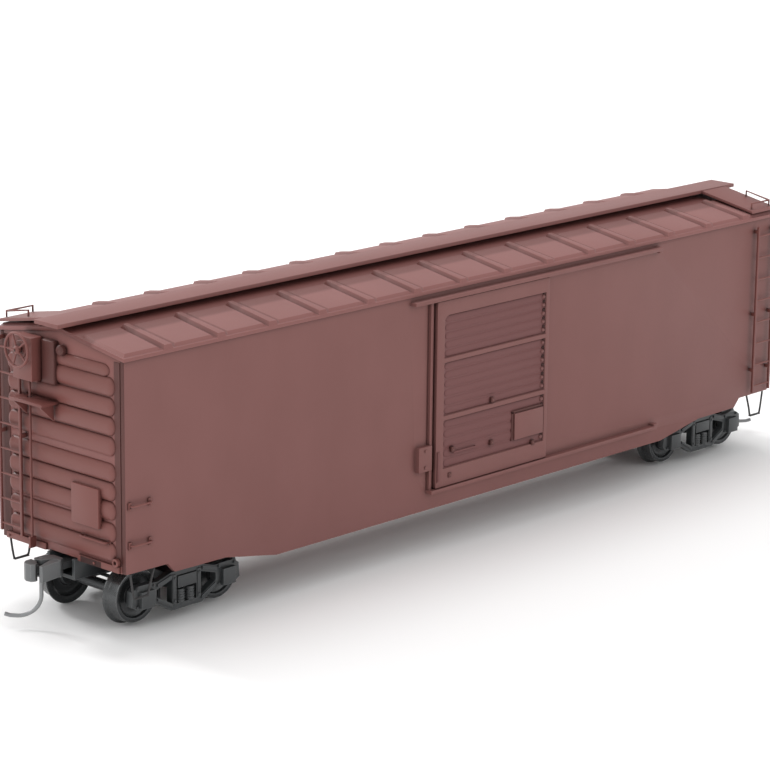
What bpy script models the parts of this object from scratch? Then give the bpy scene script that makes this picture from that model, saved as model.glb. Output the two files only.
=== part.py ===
"""Model box car, HO scale (1:87.1): a fifty-foot steel car with one sliding door on each side.

Built in metres, +Z up, +X along the car, with the wheel flanges standing on Z = 0.
The two ends are one set of pieces turned half round: end "a" is at +X, end "b" (the brake end) at -X.
Every length below is in millimetres and is turned into metres by MM. Heights are those of a car whose
axles run at AXLE_Z; finish() lifts or lowers the whole car when the wheels have another radius.
"""

import math

import bmesh
import bpy
from mathutils import Matrix, Vector

MM = 0.001

# fits
FIXED_GAP = 0.05          # between two pieces that are glued or screwed together
RUNNING_GAP = 0.15        # between two pieces that move on each other
BITE = 0.3                # how far a detail reaches into the piece it is moulded on

# car body
BODY_LENGTH = 180.4
BODY_WIDTH = 32.4
WALL = 1.0
CORNER_Z = 12.2           # bottom of the side at its corners
TAB_Z = 10.3              # bottom of the tab over each truck
SILL_Z = 8.0              # bottom of the deep side sill
TAB_REACH_OUT = 5.9       # tab edges, from the truck centre
TAB_REACH_IN = 6.0
TAB_SLANT = 1.7
SILL_SLOPE_LONG = 12.5    # from the tab down to the deep sill
EDGE_DRAFT = 0.1          # the bottom edges rise this much towards the ends
EAVE_Z = 49.65            # underside of the roof over the sides
ROOF_RISE = 2.6
ROOF_THICK = 0.65
ROOF_OVERHANG = 0.35
ROOF_RIBS = 14
ROOF_RIB_MARGIN = 9.9     # outermost rib to the end of the body
ROOF_RIB_WIDE = 2.6
ROOF_RIB_HIGH = 0.42

# ends
END_RIB_HIGH = 0.75
END_RIB_HALF = 1.12
END_RIB_TAPER = 2.6
END_RIB_SHARES = (0.091, 0.184, 0.286, 0.377, 0.467, 0.59, 0.684, 0.774, 0.868)
END_TOP_RIB_SHARE = 0.94  # shares of the height from the bottom of the end to the eave
END_RIB_MARGIN = 1.6
END_TOP_RIB_MARGIN = 3.2
END_BOARD_WIDE = 7.0
END_BOARD_OUT = 1.35
END_BOARD_MARGIN = 5.5

# doors
DOOR_LEFT = -14.2
DOOR_WIDTH = 31.6
DOOR_HEAD = 1.75          # top of the door to the eave
DOOR_BOTTOM = 12.2
DOOR_THICK = 1.1
DOOR_FRAME = 2.0
DOOR_PANELS = ((0.337, 5), (0.366, 6), (0.297, 5))   # share of the height and number of ridges
DOOR_BAR_HIGH = 0.8
DOOR_FOOT = 3.0
DOOR_CAP = 2.4
DOOR_RECESS = 0.45
DOORWAY_MARGIN = 1.7
DOORWAY_SILL = 15.2
DOOR_TRAVEL = 33.0
TRACK_OUT = 1.55

# floor and underframe
FLOOR_Z = 12.4
FLOOR_THICK = 1.0
WEIGHT_END_GAP = 8.2      # from the weight to the end of the body
WEIGHT_SIDE_GAP = 2.2
WEIGHT_THICK = 1.5
CENTRE_PLATE_Z = 9.45

# roof walk
WALK_GAP = 0.18           # between the roof ribs and the boards
WALK_THICK = 0.7
WALK_HALF_WIDE = 3.0
WALK_OVERHANG = 3.2
LATERAL_WIDE = 7.7
LATERAL_THICK = 0.54
LATERAL_ROOT = 2.5        # where a lateral board starts under the walk
LATERAL_SET = 0.06        # and how far it lies below the walk's top there
LADDER_IN = 1.5           # side ladder's outer edge to the end of the body
LADDER_WIDE = 5.3
RUNGS = 8

# trucks
TRUCK_IN = 17.2           # truck centre to the end of the body
WHEEL_BASE = 19.25
AXLE_Z = 5.45
FLANGE_RADIUS = 5.45
FLANGE_DEPTH = 0.6
WHEEL_BACK = 7.2
WHEEL_FRONT = 10.35
AXLE_RADIUS = 1.15
JOURNAL_RADIUS = 0.95
POINT_RADIUS = 0.12
FRAME_INNER = 11.2
FRAME_OUTER = 12.6
JOURNAL_LID = 13.5
BOLSTER_HALF = 2.2

# couplers
BOX_PIVOT_IN = 5.6        # pivot of the coupler to the end of the body
BOX_BACK_LONG = 5.0       # pivot to the back of the box
BOX_FRONT_OUT = 0.7       # front of the box beyond the end
BOX_HALF = 3.6
BOX_Z = 8.6
BOX_WALL = 0.65
COUPLER_Z = 10.75
HEAD_HALF_HIGH = 1.55
KNUCKLE_OUT = 4.0         # knuckle pin beyond the end
KNUCKLE_Y = -1.4
PIN_RADIUS = 0.36

# hand brake
BRAKE_IN = 9.9            # brake shaft to the side of the car
BRAKE_DROP = 1.15         # brake shaft below the eave
BRAKE_WHEEL_RADIUS = 3.2
BRAKE_WHEEL_OUT = 4.5

END_X = BODY_LENGTH / 2
SIDE_Y = BODY_WIDTH / 2
TRUCK_X = END_X - TRUCK_IN
TAB_OUTER = TRUCK_X + TAB_REACH_OUT
TAB_INNER = TRUCK_X - TAB_REACH_IN
SILL_HALF = TAB_INNER - SILL_SLOPE_LONG
DOOR_RIGHT = DOOR_LEFT + DOOR_WIDTH
DOOR_TOP = EAVE_Z - DOOR_HEAD
TRACK_LEFT = DOOR_LEFT - 6.2
TRACK_RIGHT = DOOR_RIGHT + DOOR_TRAVEL + 0.8
ROOF_RIB_PITCH = 2 * (END_X - ROOF_RIB_MARGIN) / (ROOF_RIBS - 1)
WALK_HALF_LONG = END_X + WALK_OVERHANG
LATERAL_INNER = END_X - LATERAL_WIDE
LADDER_X = END_X - LADDER_IN - LADDER_WIDE
BOX_PIVOT = END_X - BOX_PIVOT_IN
BOX_BACK = BOX_PIVOT - BOX_BACK_LONG
BOX_FRONT = END_X + BOX_FRONT_OUT
KNUCKLE_X = END_X + KNUCKLE_OUT
BRAKE_WHEEL_X = END_X + BRAKE_WHEEL_OUT
BRAKE_Y = SIDE_Y - BRAKE_IN
BRAKE_Z = EAVE_Z - BRAKE_DROP
END_RIBS = [CORNER_Z + share * (EAVE_Z - CORNER_Z) for share in END_RIB_SHARES]
END_TOP_RIB = CORNER_Z + END_TOP_RIB_SHARE * (EAVE_Z - CORNER_Z)
ROOF_SLOPE = ROOF_RISE / SIDE_Y
WALK_UNDER = EAVE_Z + ROOF_RISE + ROOF_THICK + ROOF_RIB_HIGH + WALK_GAP
WALK_TOP = WALK_UNDER + WALK_THICK
TREAD_RADIUS = FLANGE_RADIUS - FLANGE_DEPTH
STAND = FLANGE_RADIUS - AXLE_Z
FLOOR_TOP = FLOOR_Z + FLOOR_THICK
WEIGHT_TOP = FLOOR_TOP + FIXED_GAP + WEIGHT_THICK
BOX_TOP = FLOOR_Z - FIXED_GAP

ORIGIN = (0.0, 0.0, 0.0)
COLOURS = {
    "red": ((0.205, 0.094, 0.085), 0.55, 0.0),
    "truck": ((0.045, 0.048, 0.052), 0.5, 0.0),
    "steel": ((0.23, 0.235, 0.24), 0.4, 0.85),
    "weight": ((0.2, 0.19, 0.18), 0.5, 0.8),
    "under": ((0.16, 0.075, 0.068), 0.6, 0.0),
}


def clear_scene():
    for obj in list(bpy.data.objects):
        bpy.data.objects.remove(obj, do_unlink=True)


def paint(obj, kind):
    colour, roughness, metallic = COLOURS[kind]
    material = bpy.data.materials.new(obj.name)
    material.use_nodes = True
    shader = material.node_tree.nodes["Principled BSDF"]
    shader.inputs["Base Color"].default_value = (*colour, 1.0)
    shader.inputs["Roughness"].default_value = roughness
    shader.inputs["Metallic"].default_value = metallic
    obj.data.materials.clear()
    obj.data.materials.append(material)


def bake(obj):
    """Give the object the mesh its curve or modifiers make."""
    graph = bpy.context.evaluated_depsgraph_get()
    mesh = bpy.data.meshes.new_from_object(obj.evaluated_get(graph))
    if obj.type == "CURVE":
        solid = bpy.data.objects.new(obj.name, mesh)
        bpy.context.scene.collection.objects.link(solid)
        bpy.data.objects.remove(obj, do_unlink=True)
    else:
        obj.modifiers.clear()
        obj.data = mesh
        solid = obj
    tidy = bmesh.new()
    tidy.from_mesh(mesh)
    bmesh.ops.remove_doubles(tidy, verts=tidy.verts, dist=0.0005 * MM)
    bmesh.ops.recalc_face_normals(tidy, faces=tidy.faces)
    tidy.to_mesh(mesh)
    tidy.free()
    return solid


def box(x, y, z):
    """A block between two corners, each axis given as (low, high)."""
    bpy.ops.mesh.primitive_cube_add(size=1.0)
    obj = bpy.context.object
    size = [(high - low) * MM for low, high in (x, y, z)]
    middle = [(high + low) / 2 * MM for low, high in (x, y, z)]
    obj.data.transform(Matrix.Translation(middle) @ Matrix.Diagonal((*size, 1.0)))
    return obj


def cylinder(centre, radius, length, axis="Z", sides=24, tip=None):
    """A round bar about the middle given; tip is the radius at its far end when it tapers."""
    bpy.ops.mesh.primitive_cone_add(
        vertices=sides,
        radius1=radius * MM,
        radius2=(radius if tip is None else tip) * MM,
        depth=length * MM,
    )
    obj = bpy.context.object
    turns = {
        "X": Matrix.Rotation(math.pi / 2, 4, "Y"),
        "Y": Matrix.Rotation(-math.pi / 2, 4, "X"),
        "Z": Matrix(),
    }
    obj.data.transform(Matrix.Translation(Vector(centre) * MM) @ turns[axis])
    return obj


def slab(outline, low, high, axis="Z", holes=()):
    """A flat plate with this outline, lying across the axis between low and high.

    The outline is (x, y) for Z, (x, z) for Y and (y, z) for X.
    """
    curve = bpy.data.curves.new("slab", "CURVE")
    curve.dimensions = "2D"
    curve.fill_mode = "BOTH"
    curve.extrude = (high - low) / 2 * MM
    for loop in (outline, *holes):
        spline = curve.splines.new("POLY")
        spline.points.add(len(loop) - 1)
        for point, (a, b) in zip(spline.points, loop):
            point.co = (a * MM, b * MM, 0.0, 1.0)
        spline.use_cyclic_u = True
    obj = bpy.data.objects.new("slab", curve)
    bpy.context.scene.collection.objects.link(obj)
    solid = bake(obj)
    middle = (high + low) / 2 * MM
    if axis == "Z":
        turn = Matrix.Translation((0, 0, middle))
    elif axis == "Y":
        turn = Matrix.Translation((0, middle, 0)) @ Matrix.Rotation(math.pi / 2, 4, "X")
    else:
        upright = Matrix(((0, 0, 1), (1, 0, 0), (0, 1, 0))).to_4x4()
        turn = Matrix.Translation((middle, 0, 0)) @ upright
    solid.data.transform(turn)
    return solid


def wire(points, radius, resolution=1, thinning=None):
    """A bent wire with closed ends through the points; thinning scales its radius at each point."""
    curve = bpy.data.curves.new("wire", "CURVE")
    curve.dimensions = "3D"
    curve.bevel_depth = radius * MM
    curve.bevel_resolution = resolution
    curve.use_fill_caps = True
    spline = curve.splines.new("POLY")
    spline.points.add(len(points) - 1)
    for number, (point, place) in enumerate(zip(spline.points, points)):
        point.co = (*(value * MM for value in place), 1.0)
        point.radius = thinning[number] if thinning else 1.0
    obj = bpy.data.objects.new("wire", curve)
    bpy.context.scene.collection.objects.link(obj)
    return bake(obj)


def turned(profile, steps=32):
    """A ring turned about the Z axis from a closed outline of (radius, height)."""
    mesh = bpy.data.meshes.new("turned")
    count = len(profile)
    edges = [(i, (i + 1) % count) for i in range(count)]
    mesh.from_pydata([(r * MM, 0.0, h * MM) for r, h in profile], edges, [])
    obj = bpy.data.objects.new("turned", mesh)
    bpy.context.scene.collection.objects.link(obj)
    screw = obj.modifiers.new("turn", "SCREW")
    screw.steps = steps
    screw.render_steps = steps
    screw.use_merge_vertices = True
    screw.merge_threshold = 0.00001
    return bake(obj)


def boolean(target, other, operation):
    modifier = target.modifiers.new(operation, "BOOLEAN")
    modifier.operation = operation
    modifier.solver = "EXACT"
    modifier.object = other
    solid = bake(target)
    bpy.data.objects.remove(other, do_unlink=True)
    return solid


def join(target, *others):
    for other in others:
        target = boolean(target, other, "UNION")
    return target


def cut(target, *others):
    for other in others:
        target = boolean(target, other, "DIFFERENCE")
    return target


def finish(obj, name, kind, pivot=ORIGIN, turn=0.0, smooth=False):
    """Name, paint and place a piece, with its own origin on the pivot it turns about."""
    obj.name = name
    obj.data.name = name
    middle = Vector(pivot) * MM
    obj.data.transform(Matrix.Translation(-middle))
    obj.rotation_euler = (0.0, 0.0, turn)
    obj.location = Matrix.Rotation(turn, 3, "Z") @ middle + Vector((0, 0, STAND * MM))
    if smooth:
        obj.data.shade_smooth()
    paint(obj, kind)
    group = bpy.data.collections.get("box_car") or bpy.data.collections.new("box_car")
    if group.name not in bpy.context.scene.collection.children:
        bpy.context.scene.collection.children.link(group)
    for collection in list(obj.users_collection):
        collection.objects.unlink(obj)
    group.objects.link(obj)
    return obj


def roof_under(y):
    """Height of the roof's underside at this distance from the middle."""
    return EAVE_Z + (SIDE_Y - abs(y)) * ROOF_SLOPE


def roof_top(y):
    return roof_under(y) + ROOF_THICK


# ---------------------------------------------------------------- car body


def side(name, turn):
    """One side of the car with its doorway, door tracks, door post and door stop."""
    top = EAVE_Z - FIXED_GAP
    half = [
        (END_X, CORNER_Z + EDGE_DRAFT),
        (TAB_OUTER + TAB_SLANT, CORNER_Z),
        (TAB_OUTER, TAB_Z + EDGE_DRAFT),
        (TAB_INNER, TAB_Z),
        (SILL_HALF, SILL_Z),
    ]
    outline = [(-END_X, top), *((-x, z) for x, z in half), *reversed(half), (END_X, top)]
    left = DOOR_LEFT + DOORWAY_MARGIN
    right = DOOR_RIGHT - DOORWAY_MARGIN
    head = DOOR_TOP - DOORWAY_MARGIN
    doorway = [(left, DOORWAY_SILL), (right, DOORWAY_SILL), (right, head), (left, head)]
    plate = slab(outline, -SIDE_Y, -SIDE_Y + WALL, axis="Y", holes=[doorway])
    skin = (-SIDE_Y - TRACK_OUT, -SIDE_Y + BITE)
    upper_z = DOOR_TOP + RUNNING_GAP
    lower_z = DOOR_BOTTOM - RUNNING_GAP
    track_upper = box((TRACK_LEFT, TRACK_RIGHT), skin, (upper_z, upper_z + 0.7))
    track_lower = box((DOOR_LEFT - 1.4, TRACK_RIGHT), skin, (lower_z - 0.7, lower_z))
    root = -SIDE_Y + BITE
    post = box((DOOR_LEFT - 1.2, DOOR_LEFT - 0.5), (-SIDE_Y - 0.7, root), (lower_z - 0.2, upper_z + 0.2))
    low = DOOR_BOTTOM + 3.8
    stop = box((DOOR_LEFT - 4.4, DOOR_LEFT - 0.9), (-SIDE_Y - 1.1, root), (low, low + 4.8))
    caps = [
        box((TRACK_RIGHT - 0.6, TRACK_RIGHT + 0.5), (-SIDE_Y - TRACK_OUT + 0.2, root), (z - 0.6, z + 0.6))
        for z in (upper_z + 0.2, lower_z - 0.2)
    ]
    return finish(join(plate, track_upper, track_lower, post, stop, *caps), name, "red", turn=turn)


def end_rib(z, reach):
    """One pressed rib across an end, half sunk in the wall and tapering at both tips."""
    places = (-reach, -reach + END_RIB_TAPER, reach - END_RIB_TAPER, reach)
    bar = wire([(0, y, 0) for y in places], END_RIB_HALF, resolution=2, thinning=(0.2, 1.0, 1.0, 0.2))
    flatten = Matrix.Diagonal((END_RIB_HIGH / END_RIB_HALF, 1.0, 1.0, 1.0))
    bar.data.transform(Matrix.Translation((END_X * MM, 0, z * MM)) @ flatten)
    return bar


def end_wall(name, turn):
    """An end wall with its ribs, placard board, end sill and the notch over the coupler box."""
    y = SIDE_Y - WALL - FIXED_GAP
    notch = BOX_HALF + 0.4
    low = CORNER_Z
    high = roof_under(y) - FIXED_GAP
    outline = [
        (-y, low),
        (-notch, low),
        (-notch, FLOOR_Z + FIXED_GAP),
        (notch, FLOOR_Z + FIXED_GAP),
        (notch, low),
        (y, low),
        (y, high),
        (0, roof_under(0) - FIXED_GAP),
        (-y, high),
    ]
    wall = slab(outline, END_X - WALL, END_X, axis="X")
    ribs = [end_rib(z, SIDE_Y - END_RIB_MARGIN) for z in END_RIBS]
    ribs.append(end_rib(END_TOP_RIB, SIDE_Y - END_TOP_RIB_MARGIN))
    edge = SIDE_Y - END_BOARD_MARGIN
    board = box(
        (END_X + END_RIB_HIGH - 0.15, END_X + END_BOARD_OUT),
        (edge - END_BOARD_WIDE, edge),
        (END_RIBS[1] + 0.4, END_RIBS[3] + 0.2),
    )
    wall = join(wall, *ribs, board)
    for side_sign in (-1, 1):
        spans = sorted((side_sign * (notch + 0.2), side_sign * (y - 0.3)))
        wall = join(wall, box((END_X - BITE, END_X + 0.5), spans, (low + 0.1, low + 1.5)))
    pocket = cylinder((END_X + 0.3, SIDE_Y - 1.9, low + 1.7), 0.75, 1.4, axis="X", sides=16)
    return finish(join(wall, pocket), name, "red", turn=turn)


def roof():
    """The gabled roof with its cross ribs."""
    y = SIDE_Y + ROOF_OVERHANG
    half = END_X + 0.4
    outline = [
        (-y, roof_under(y)),
        (0, roof_under(0)),
        (y, roof_under(y)),
        (y, roof_top(y)),
        (0, roof_top(0)),
        (-y, roof_top(y)),
    ]
    sheet = slab(outline, -half, half, axis="X")
    for number in range(ROOF_RIBS):
        x = (number - (ROOF_RIBS - 1) / 2) * ROOF_RIB_PITCH
        edge = SIDE_Y - 0.1
        raised = edge - 0.7
        rib = [
            (-edge, roof_top(edge) - BITE),
            (0, roof_top(0) - BITE),
            (edge, roof_top(edge) - BITE),
            (edge, roof_top(edge) + 0.05),
            (raised, roof_top(raised) + ROOF_RIB_HIGH),
            (0, roof_top(0) + ROOF_RIB_HIGH),
            (-raised, roof_top(raised) + ROOF_RIB_HIGH),
            (-edge, roof_top(edge) + 0.05),
        ]
        sheet = join(sheet, slab(rib, x - ROOF_RIB_WIDE / 2, x + ROOF_RIB_WIDE / 2, axis="X"))
    return finish(sheet, "roof", "red")


def lateral_top(y):
    """Height of a lateral board's top at this distance from the middle; it falls as the roof does."""
    share = (abs(y) - LATERAL_ROOT) / (SIDE_Y - LATERAL_ROOT)
    return WALK_TOP - LATERAL_SET - share * (ROOF_RISE - LATERAL_SET)


def running_board():
    """The roof walk with its saddles and the sloping lateral board at each end."""
    half = WALK_HALF_LONG
    wide = WALK_HALF_WIDE
    walk = box((-half, half), (-wide, wide), (WALK_UNDER, WALK_TOP))
    for number in range(ROOF_RIBS):
        x = (number - (ROOF_RIBS - 1) / 2) * ROOF_RIB_PITCH
        foot = roof_top(0) + ROOF_RIB_HIGH + FIXED_GAP
        saddle = box((x - 0.6, x + 0.6), (-wide + 0.4, wide - 0.4), (foot, WALK_UNDER + BITE))
        walk = join(walk, saddle)
    for sign in (1, -1):
        root = LATERAL_ROOT
        edge = SIDE_Y
        outline = [
            (-sign * root, lateral_top(root)),
            (-sign * edge, lateral_top(edge)),
            (-sign * edge, lateral_top(edge) - LATERAL_THICK),
            (-sign * root, lateral_top(root) - LATERAL_THICK),
        ]
        spans = sorted((sign * LATERAL_INNER, sign * END_X))
        walk = join(walk, slab(outline, *spans, axis="X"))
    return finish(walk, "running_board", "red")


def underframe():
    """The floor with the centre sill, bolsters, cross bearers and air-brake gear moulded on it."""
    x = END_X - WALL - FIXED_GAP
    y = SIDE_Y - WALL - FIXED_GAP
    frame = box((-x, x), (-y, y), (FLOOR_Z, FLOOR_TOP))
    root = FLOOR_Z + BITE
    frame = join(frame, box((-TRUCK_X, TRUCK_X), (-2.2, 2.2), (9.9, root)))
    clear = TRUCK_X - WHEEL_BASE / 2 - FLANGE_RADIUS - 1.0
    for stringer in (-7.4, 7.4):
        place = (stringer - 0.3, stringer + 0.3)
        frame = join(frame, box((-clear, clear), place, (11.7, root)))
    reach = y - 0.2
    for place in (-45, -20, 20, 45):
        bearer = [(-reach, 11.8), (-2.5, 10.1), (2.5, 10.1), (reach, 11.8), (reach, root), (-reach, root)]
        frame = join(frame, slab(bearer, place - 0.5, place + 0.5, axis="X"))
    for sign in (-1, 1):
        middle = sign * TRUCK_X
        bolster = [(-reach, 11.3), (-4, 9.75), (4, 9.75), (reach, 11.3), (reach, root), (-reach, root)]
        frame = join(frame, slab(bolster, middle - 1.6, middle + 1.6, axis="X"))
        frame = join(frame, cylinder((middle, 0, (CENTRE_PLATE_Z + 10.2) / 2), 2.4, 10.2 - CENTRE_PLATE_Z))
        frame = cut(frame, cylinder((middle, 0, 10.5), 0.75, 3.4, sides=16))
        frame = cut(frame, cylinder((sign * BOX_PIVOT, 0, 13.0), 0.85, 2.0, sides=16))
    cylinder_body = cylinder((-10, 9.0, 10.3), 1.7, 7.0, axis="X", sides=20)
    reservoir = cylinder((8, -9.0, 10.2), 1.9, 10.0, axis="X", sides=20)
    valve = box((-2.0, 1.6), (9.6, 12.4), (9.4, root))
    hangers = [
        box((-11.5, -8.5), (8.4, 9.6), (10.3, root)),
        box((6.0, 10.0), (-9.6, -8.4), (10.3, root)),
    ]
    return finish(join(frame, cylinder_body, reservoir, valve, *hangers), "underframe", "under")


def weight():
    """The steel plate that ballasts the car and makes its inside floor."""
    low = FLOOR_TOP + FIXED_GAP
    x = END_X - WEIGHT_END_GAP
    y = SIDE_Y - WEIGHT_SIDE_GAP
    plate = box((-x, x), (-y, y), (low, WEIGHT_TOP))
    return finish(plate, "weight", "weight")


def door(name, turn):
    """A sliding door: flat frame, three corrugated panels, a placard board and its latch lugs."""
    back = -SIDE_Y - RUNNING_GAP
    front = back - DOOR_THICK
    panel = box((DOOR_LEFT, DOOR_RIGHT), (front, back), (DOOR_BOTTOM, DOOR_TOP))
    left = DOOR_LEFT + DOOR_FRAME
    right = DOOR_RIGHT - 0.9
    floor = front + DOOR_RECESS
    bottom = DOOR_BOTTOM + DOOR_FOOT
    height = DOOR_TOP - DOOR_CAP - bottom
    for share, count in DOOR_PANELS:
        low = bottom + DOOR_BAR_HIGH / 2
        bottom += share * height
        high = bottom - DOOR_BAR_HIGH / 2
        panel = cut(panel, box((left, right), (front - 1, floor), (low, high)))
        pitch = (high - low) / count
        for number in range(count):
            z = low + (number + 0.5) * pitch
            base = floor + 0.3
            crest = floor - 0.3
            ridge = [(base, z - 0.62), (crest, z - 0.3), (crest, z + 0.3), (base, z + 0.62)]
            panel = join(panel, slab(ridge, left + 0.5, right - 0.35, axis="X"))
    foot = DOOR_BOTTOM + 5.2
    placard = box((DOOR_RIGHT - 9.5, DOOR_RIGHT - 1.2), (front - 0.12, floor + 0.2), (foot, foot + 5.2))
    middle = (DOOR_LEFT + DOOR_RIGHT) / 2 - 0.2
    places = [(DOOR_LEFT + 4.6, 6.8), (DOOR_LEFT + 3.8, 2.0), (DOOR_RIGHT - 4.1, 3.7), (middle, 6.0), (middle, 14.4)]
    lugs = []
    for x, rise in places:
        z = DOOR_BOTTOM + rise
        lugs.append(box((x - 0.5, x + 0.5), (front - 0.25, floor + 0.2), (z - 0.55, z + 0.55)))
    return finish(join(panel, placard, *lugs), name, "red", turn=turn)


# ---------------------------------------------------------------- ladders, steps and grab irons


def rungs(low, top):
    """Heights of a ladder's rungs, spread evenly between the ends of its stiles."""
    pitch = (top - low - 3.4) / (RUNGS - 1)
    return [low + 1.4 + number * pitch for number in range(RUNGS)]


def side_ladder(name, turn):
    """The ladder at the right-hand end of a side."""
    skin = -SIDE_Y - FIXED_GAP
    outer = -SIDE_Y - 1.3
    left = LADDER_X
    right = LADDER_X + LADDER_WIDE
    low = CORNER_Z + 0.8
    top = EAVE_Z - 1.35
    ladder = box((left, left + 0.55), (outer, outer + 0.45), (low, top))
    for z in rungs(low, top):
        ladder = join(ladder, wire([(left + 0.2, outer + 0.22, z), (right + 0.35, outer + 0.22, z)], 0.19))
    ladder = join(ladder, box((right, right + 0.55), (outer, outer + 0.45), (low, top)))
    for x in (left, right):
        for z in (low + 0.2, (low + top) / 2 - 1.25, top - 1.4):
            ladder = join(ladder, box((x - 0.1, x + 0.65), (outer + 0.3, skin), (z, z + 0.8)))
    return finish(ladder, name, "red", turn=turn)


def end_ladder(name, turn):
    """The ladder at the left-hand edge of an end, standing clear of the ribs."""
    skin = END_X + FIXED_GAP
    inner = END_X + 1.15
    left = -SIDE_Y + 1.0
    right = left + LADDER_WIDE + 0.15
    low = CORNER_Z + 1.7
    middle = (END_RIBS[4] + END_RIBS[5]) / 2 - 0.3
    upper = END_TOP_RIB + END_RIB_HALF + 0.13
    top = upper + 0.25
    ladder = box((inner, inner + 0.45), (left, left + 0.55), (low, top))
    for z in rungs(low, top):
        ladder = join(ladder, wire([(inner + 0.22, left + 0.2, z), (inner + 0.22, right + 0.35, z)], 0.19))
    ladder = join(ladder, box((inner, inner + 0.45), (right, right + 0.55), (low, top)))
    for y in (left + 0.1, right - 0.1):
        for z in (middle, upper):
            ladder = join(ladder, box((skin, inner + 0.2), (y, y + 0.7), (z, z + 0.6)))
    return finish(ladder, name, "red", turn=turn)


def sill_step(name, sign, turn):
    """A strap step hanging below a corner; sign picks the side of the car."""
    y = sorted((sign * (SIDE_Y - 0.65), sign * SIDE_Y))
    top = CORNER_Z - FIXED_GAP
    shape = [
        (7.0, 0.0), (5.3, 2.95), (4.9, 4.85), (1.6, 4.9), (1.3, 2.95), (0.8, 0.05),
        (1.6, 0.0), (1.75, 2.55), (2.0, 4.4), (4.5, 4.45), (4.8, 2.65), (6.0, 0.1),
    ]
    outline = [(END_X - back, top - drop) for back, drop in shape]
    return finish(slab(outline, *y, axis="Y"), name, "red", turn=turn)


def side_grab(name, z, turn):
    """A grab iron at the left-hand end of a side."""
    skin = SIDE_Y + FIXED_GAP
    out = SIDE_Y + 0.9
    near = END_X - 0.8
    far = END_X - 5.3
    iron = wire([(far, skin + 0.1, z), (far, out, z), (near, out, z), (near, skin + 0.1, z)], 0.2)
    feet = [box((x - 0.35, x + 0.35), (skin, skin + 0.3), (z - 0.8, z + 0.6)) for x in (far, near)]
    return finish(join(iron, *feet), name, "red", turn=turn)


def end_grab(name, turn):
    """The grab iron low on an end."""
    skin = END_X + FIXED_GAP
    out = END_X + 1.3
    z = (END_RIBS[0] + END_RIBS[1]) / 2
    far = SIDE_Y - 3.9
    near = far - 6.5
    iron = wire([(skin + 0.1, near, z), (out, near, z), (out, far, z), (skin + 0.1, far, z)], 0.2)
    half = (END_RIBS[1] - END_RIBS[0]) / 2 - END_RIB_HALF - 3 * FIXED_GAP
    feet = [box((skin, skin + 0.3), (y - 0.35, y + 0.35), (z - half, z + half)) for y in (near, far)]
    return finish(join(iron, *feet), name, "red", turn=turn)


def roof_grab(name, turn):
    """The bent grab iron on a lateral board."""
    def foot(y):
        return lateral_top(y) + 2 * FIXED_GAP

    edge = 0.9 - SIDE_Y
    low = (END_X - 6.8, edge)
    corner = (END_X - 0.9, edge)
    far = (END_X - 0.9, edge + 5.9)
    rise = 1.1
    iron = wire([
        (*low, foot(low[1])), (*low, foot(low[1]) + rise), (*corner, foot(corner[1]) + rise),
        (*far, foot(far[1]) + rise), (*far, foot(far[1])),
    ], 0.2)
    leg = wire([(*corner, foot(corner[1])), (*corner, foot(corner[1]) + rise)], 0.18)
    return finish(join(iron, leg), name, "red", turn=turn)


# ---------------------------------------------------------------- hand brake


def case_bottom():
    """Bottom of the brake gear housing, just above the middle of the lug that holds it."""
    return (END_RIBS[7] + END_RIBS[8]) / 2 + 0.1


def brake_housing():
    """The gear housing high on the brake end, with the two lugs that hold it to the wall."""
    back = END_X + END_RIB_HIGH + 0.15
    front = BRAKE_WHEEL_X - 1.2
    low = case_bottom()
    catch = low - 0.1
    half = (END_RIBS[8] - END_RIBS[7]) / 2 - END_RIB_HALF - 2 * FIXED_GAP
    case = box((back, front), (-BRAKE_Y - 2.5, -BRAKE_Y + 2.5), (low, BRAKE_Z + 2.2))
    case = join(case, cylinder((front - 0.3, -BRAKE_Y, BRAKE_Z), 1.5, 1.4, axis="X"))
    for low_edge, high_edge in ((catch - half, catch + half), (BRAKE_Z + 1.35, BRAKE_Z + 2.0)):
        lug = box((END_X + FIXED_GAP, back + 0.4), (-BRAKE_Y - 1.5, -BRAKE_Y + 1.5), (low_edge, high_edge))
        case = join(case, lug)
    case = cut(case, cylinder((front, -BRAKE_Y, BRAKE_Z), 0.5, 3.0, axis="X", sides=16))
    return finish(case, "brake_housing", "red", turn=math.pi)


def brake_wheel():
    """The hand wheel with its five spokes, hub and shaft."""
    ring = [
        (BRAKE_WHEEL_RADIUS - 0.5, 0.0), (BRAKE_WHEEL_RADIUS - 0.2, -0.25), (BRAKE_WHEEL_RADIUS, 0.0),
        (BRAKE_WHEEL_RADIUS - 0.2, 0.25),
    ]
    rim = turned(ring, steps=28)
    for number in range(5):
        spoke = box((0.2, BRAKE_WHEEL_RADIUS - 0.25), (-0.2, 0.2), (-0.14, 0.14))
        spoke.data.transform(Matrix.Rotation(math.tau * number / 5, 4, "Z"))
        rim = join(rim, spoke)
    rim = join(rim, cylinder((0, 0, 0), 0.75, 0.7, sides=16), cylinder((0, 0, -0.9), 0.35, 1.8, sides=12))
    middle = (BRAKE_WHEEL_X, -BRAKE_Y, BRAKE_Z)
    place = Matrix.Translation(Vector(middle) * MM) @ Matrix.Rotation(math.pi / 2, 4, "Y")
    rim.data.transform(place)
    return finish(rim, "brake_wheel", "red", pivot=middle, turn=math.pi)


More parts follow.
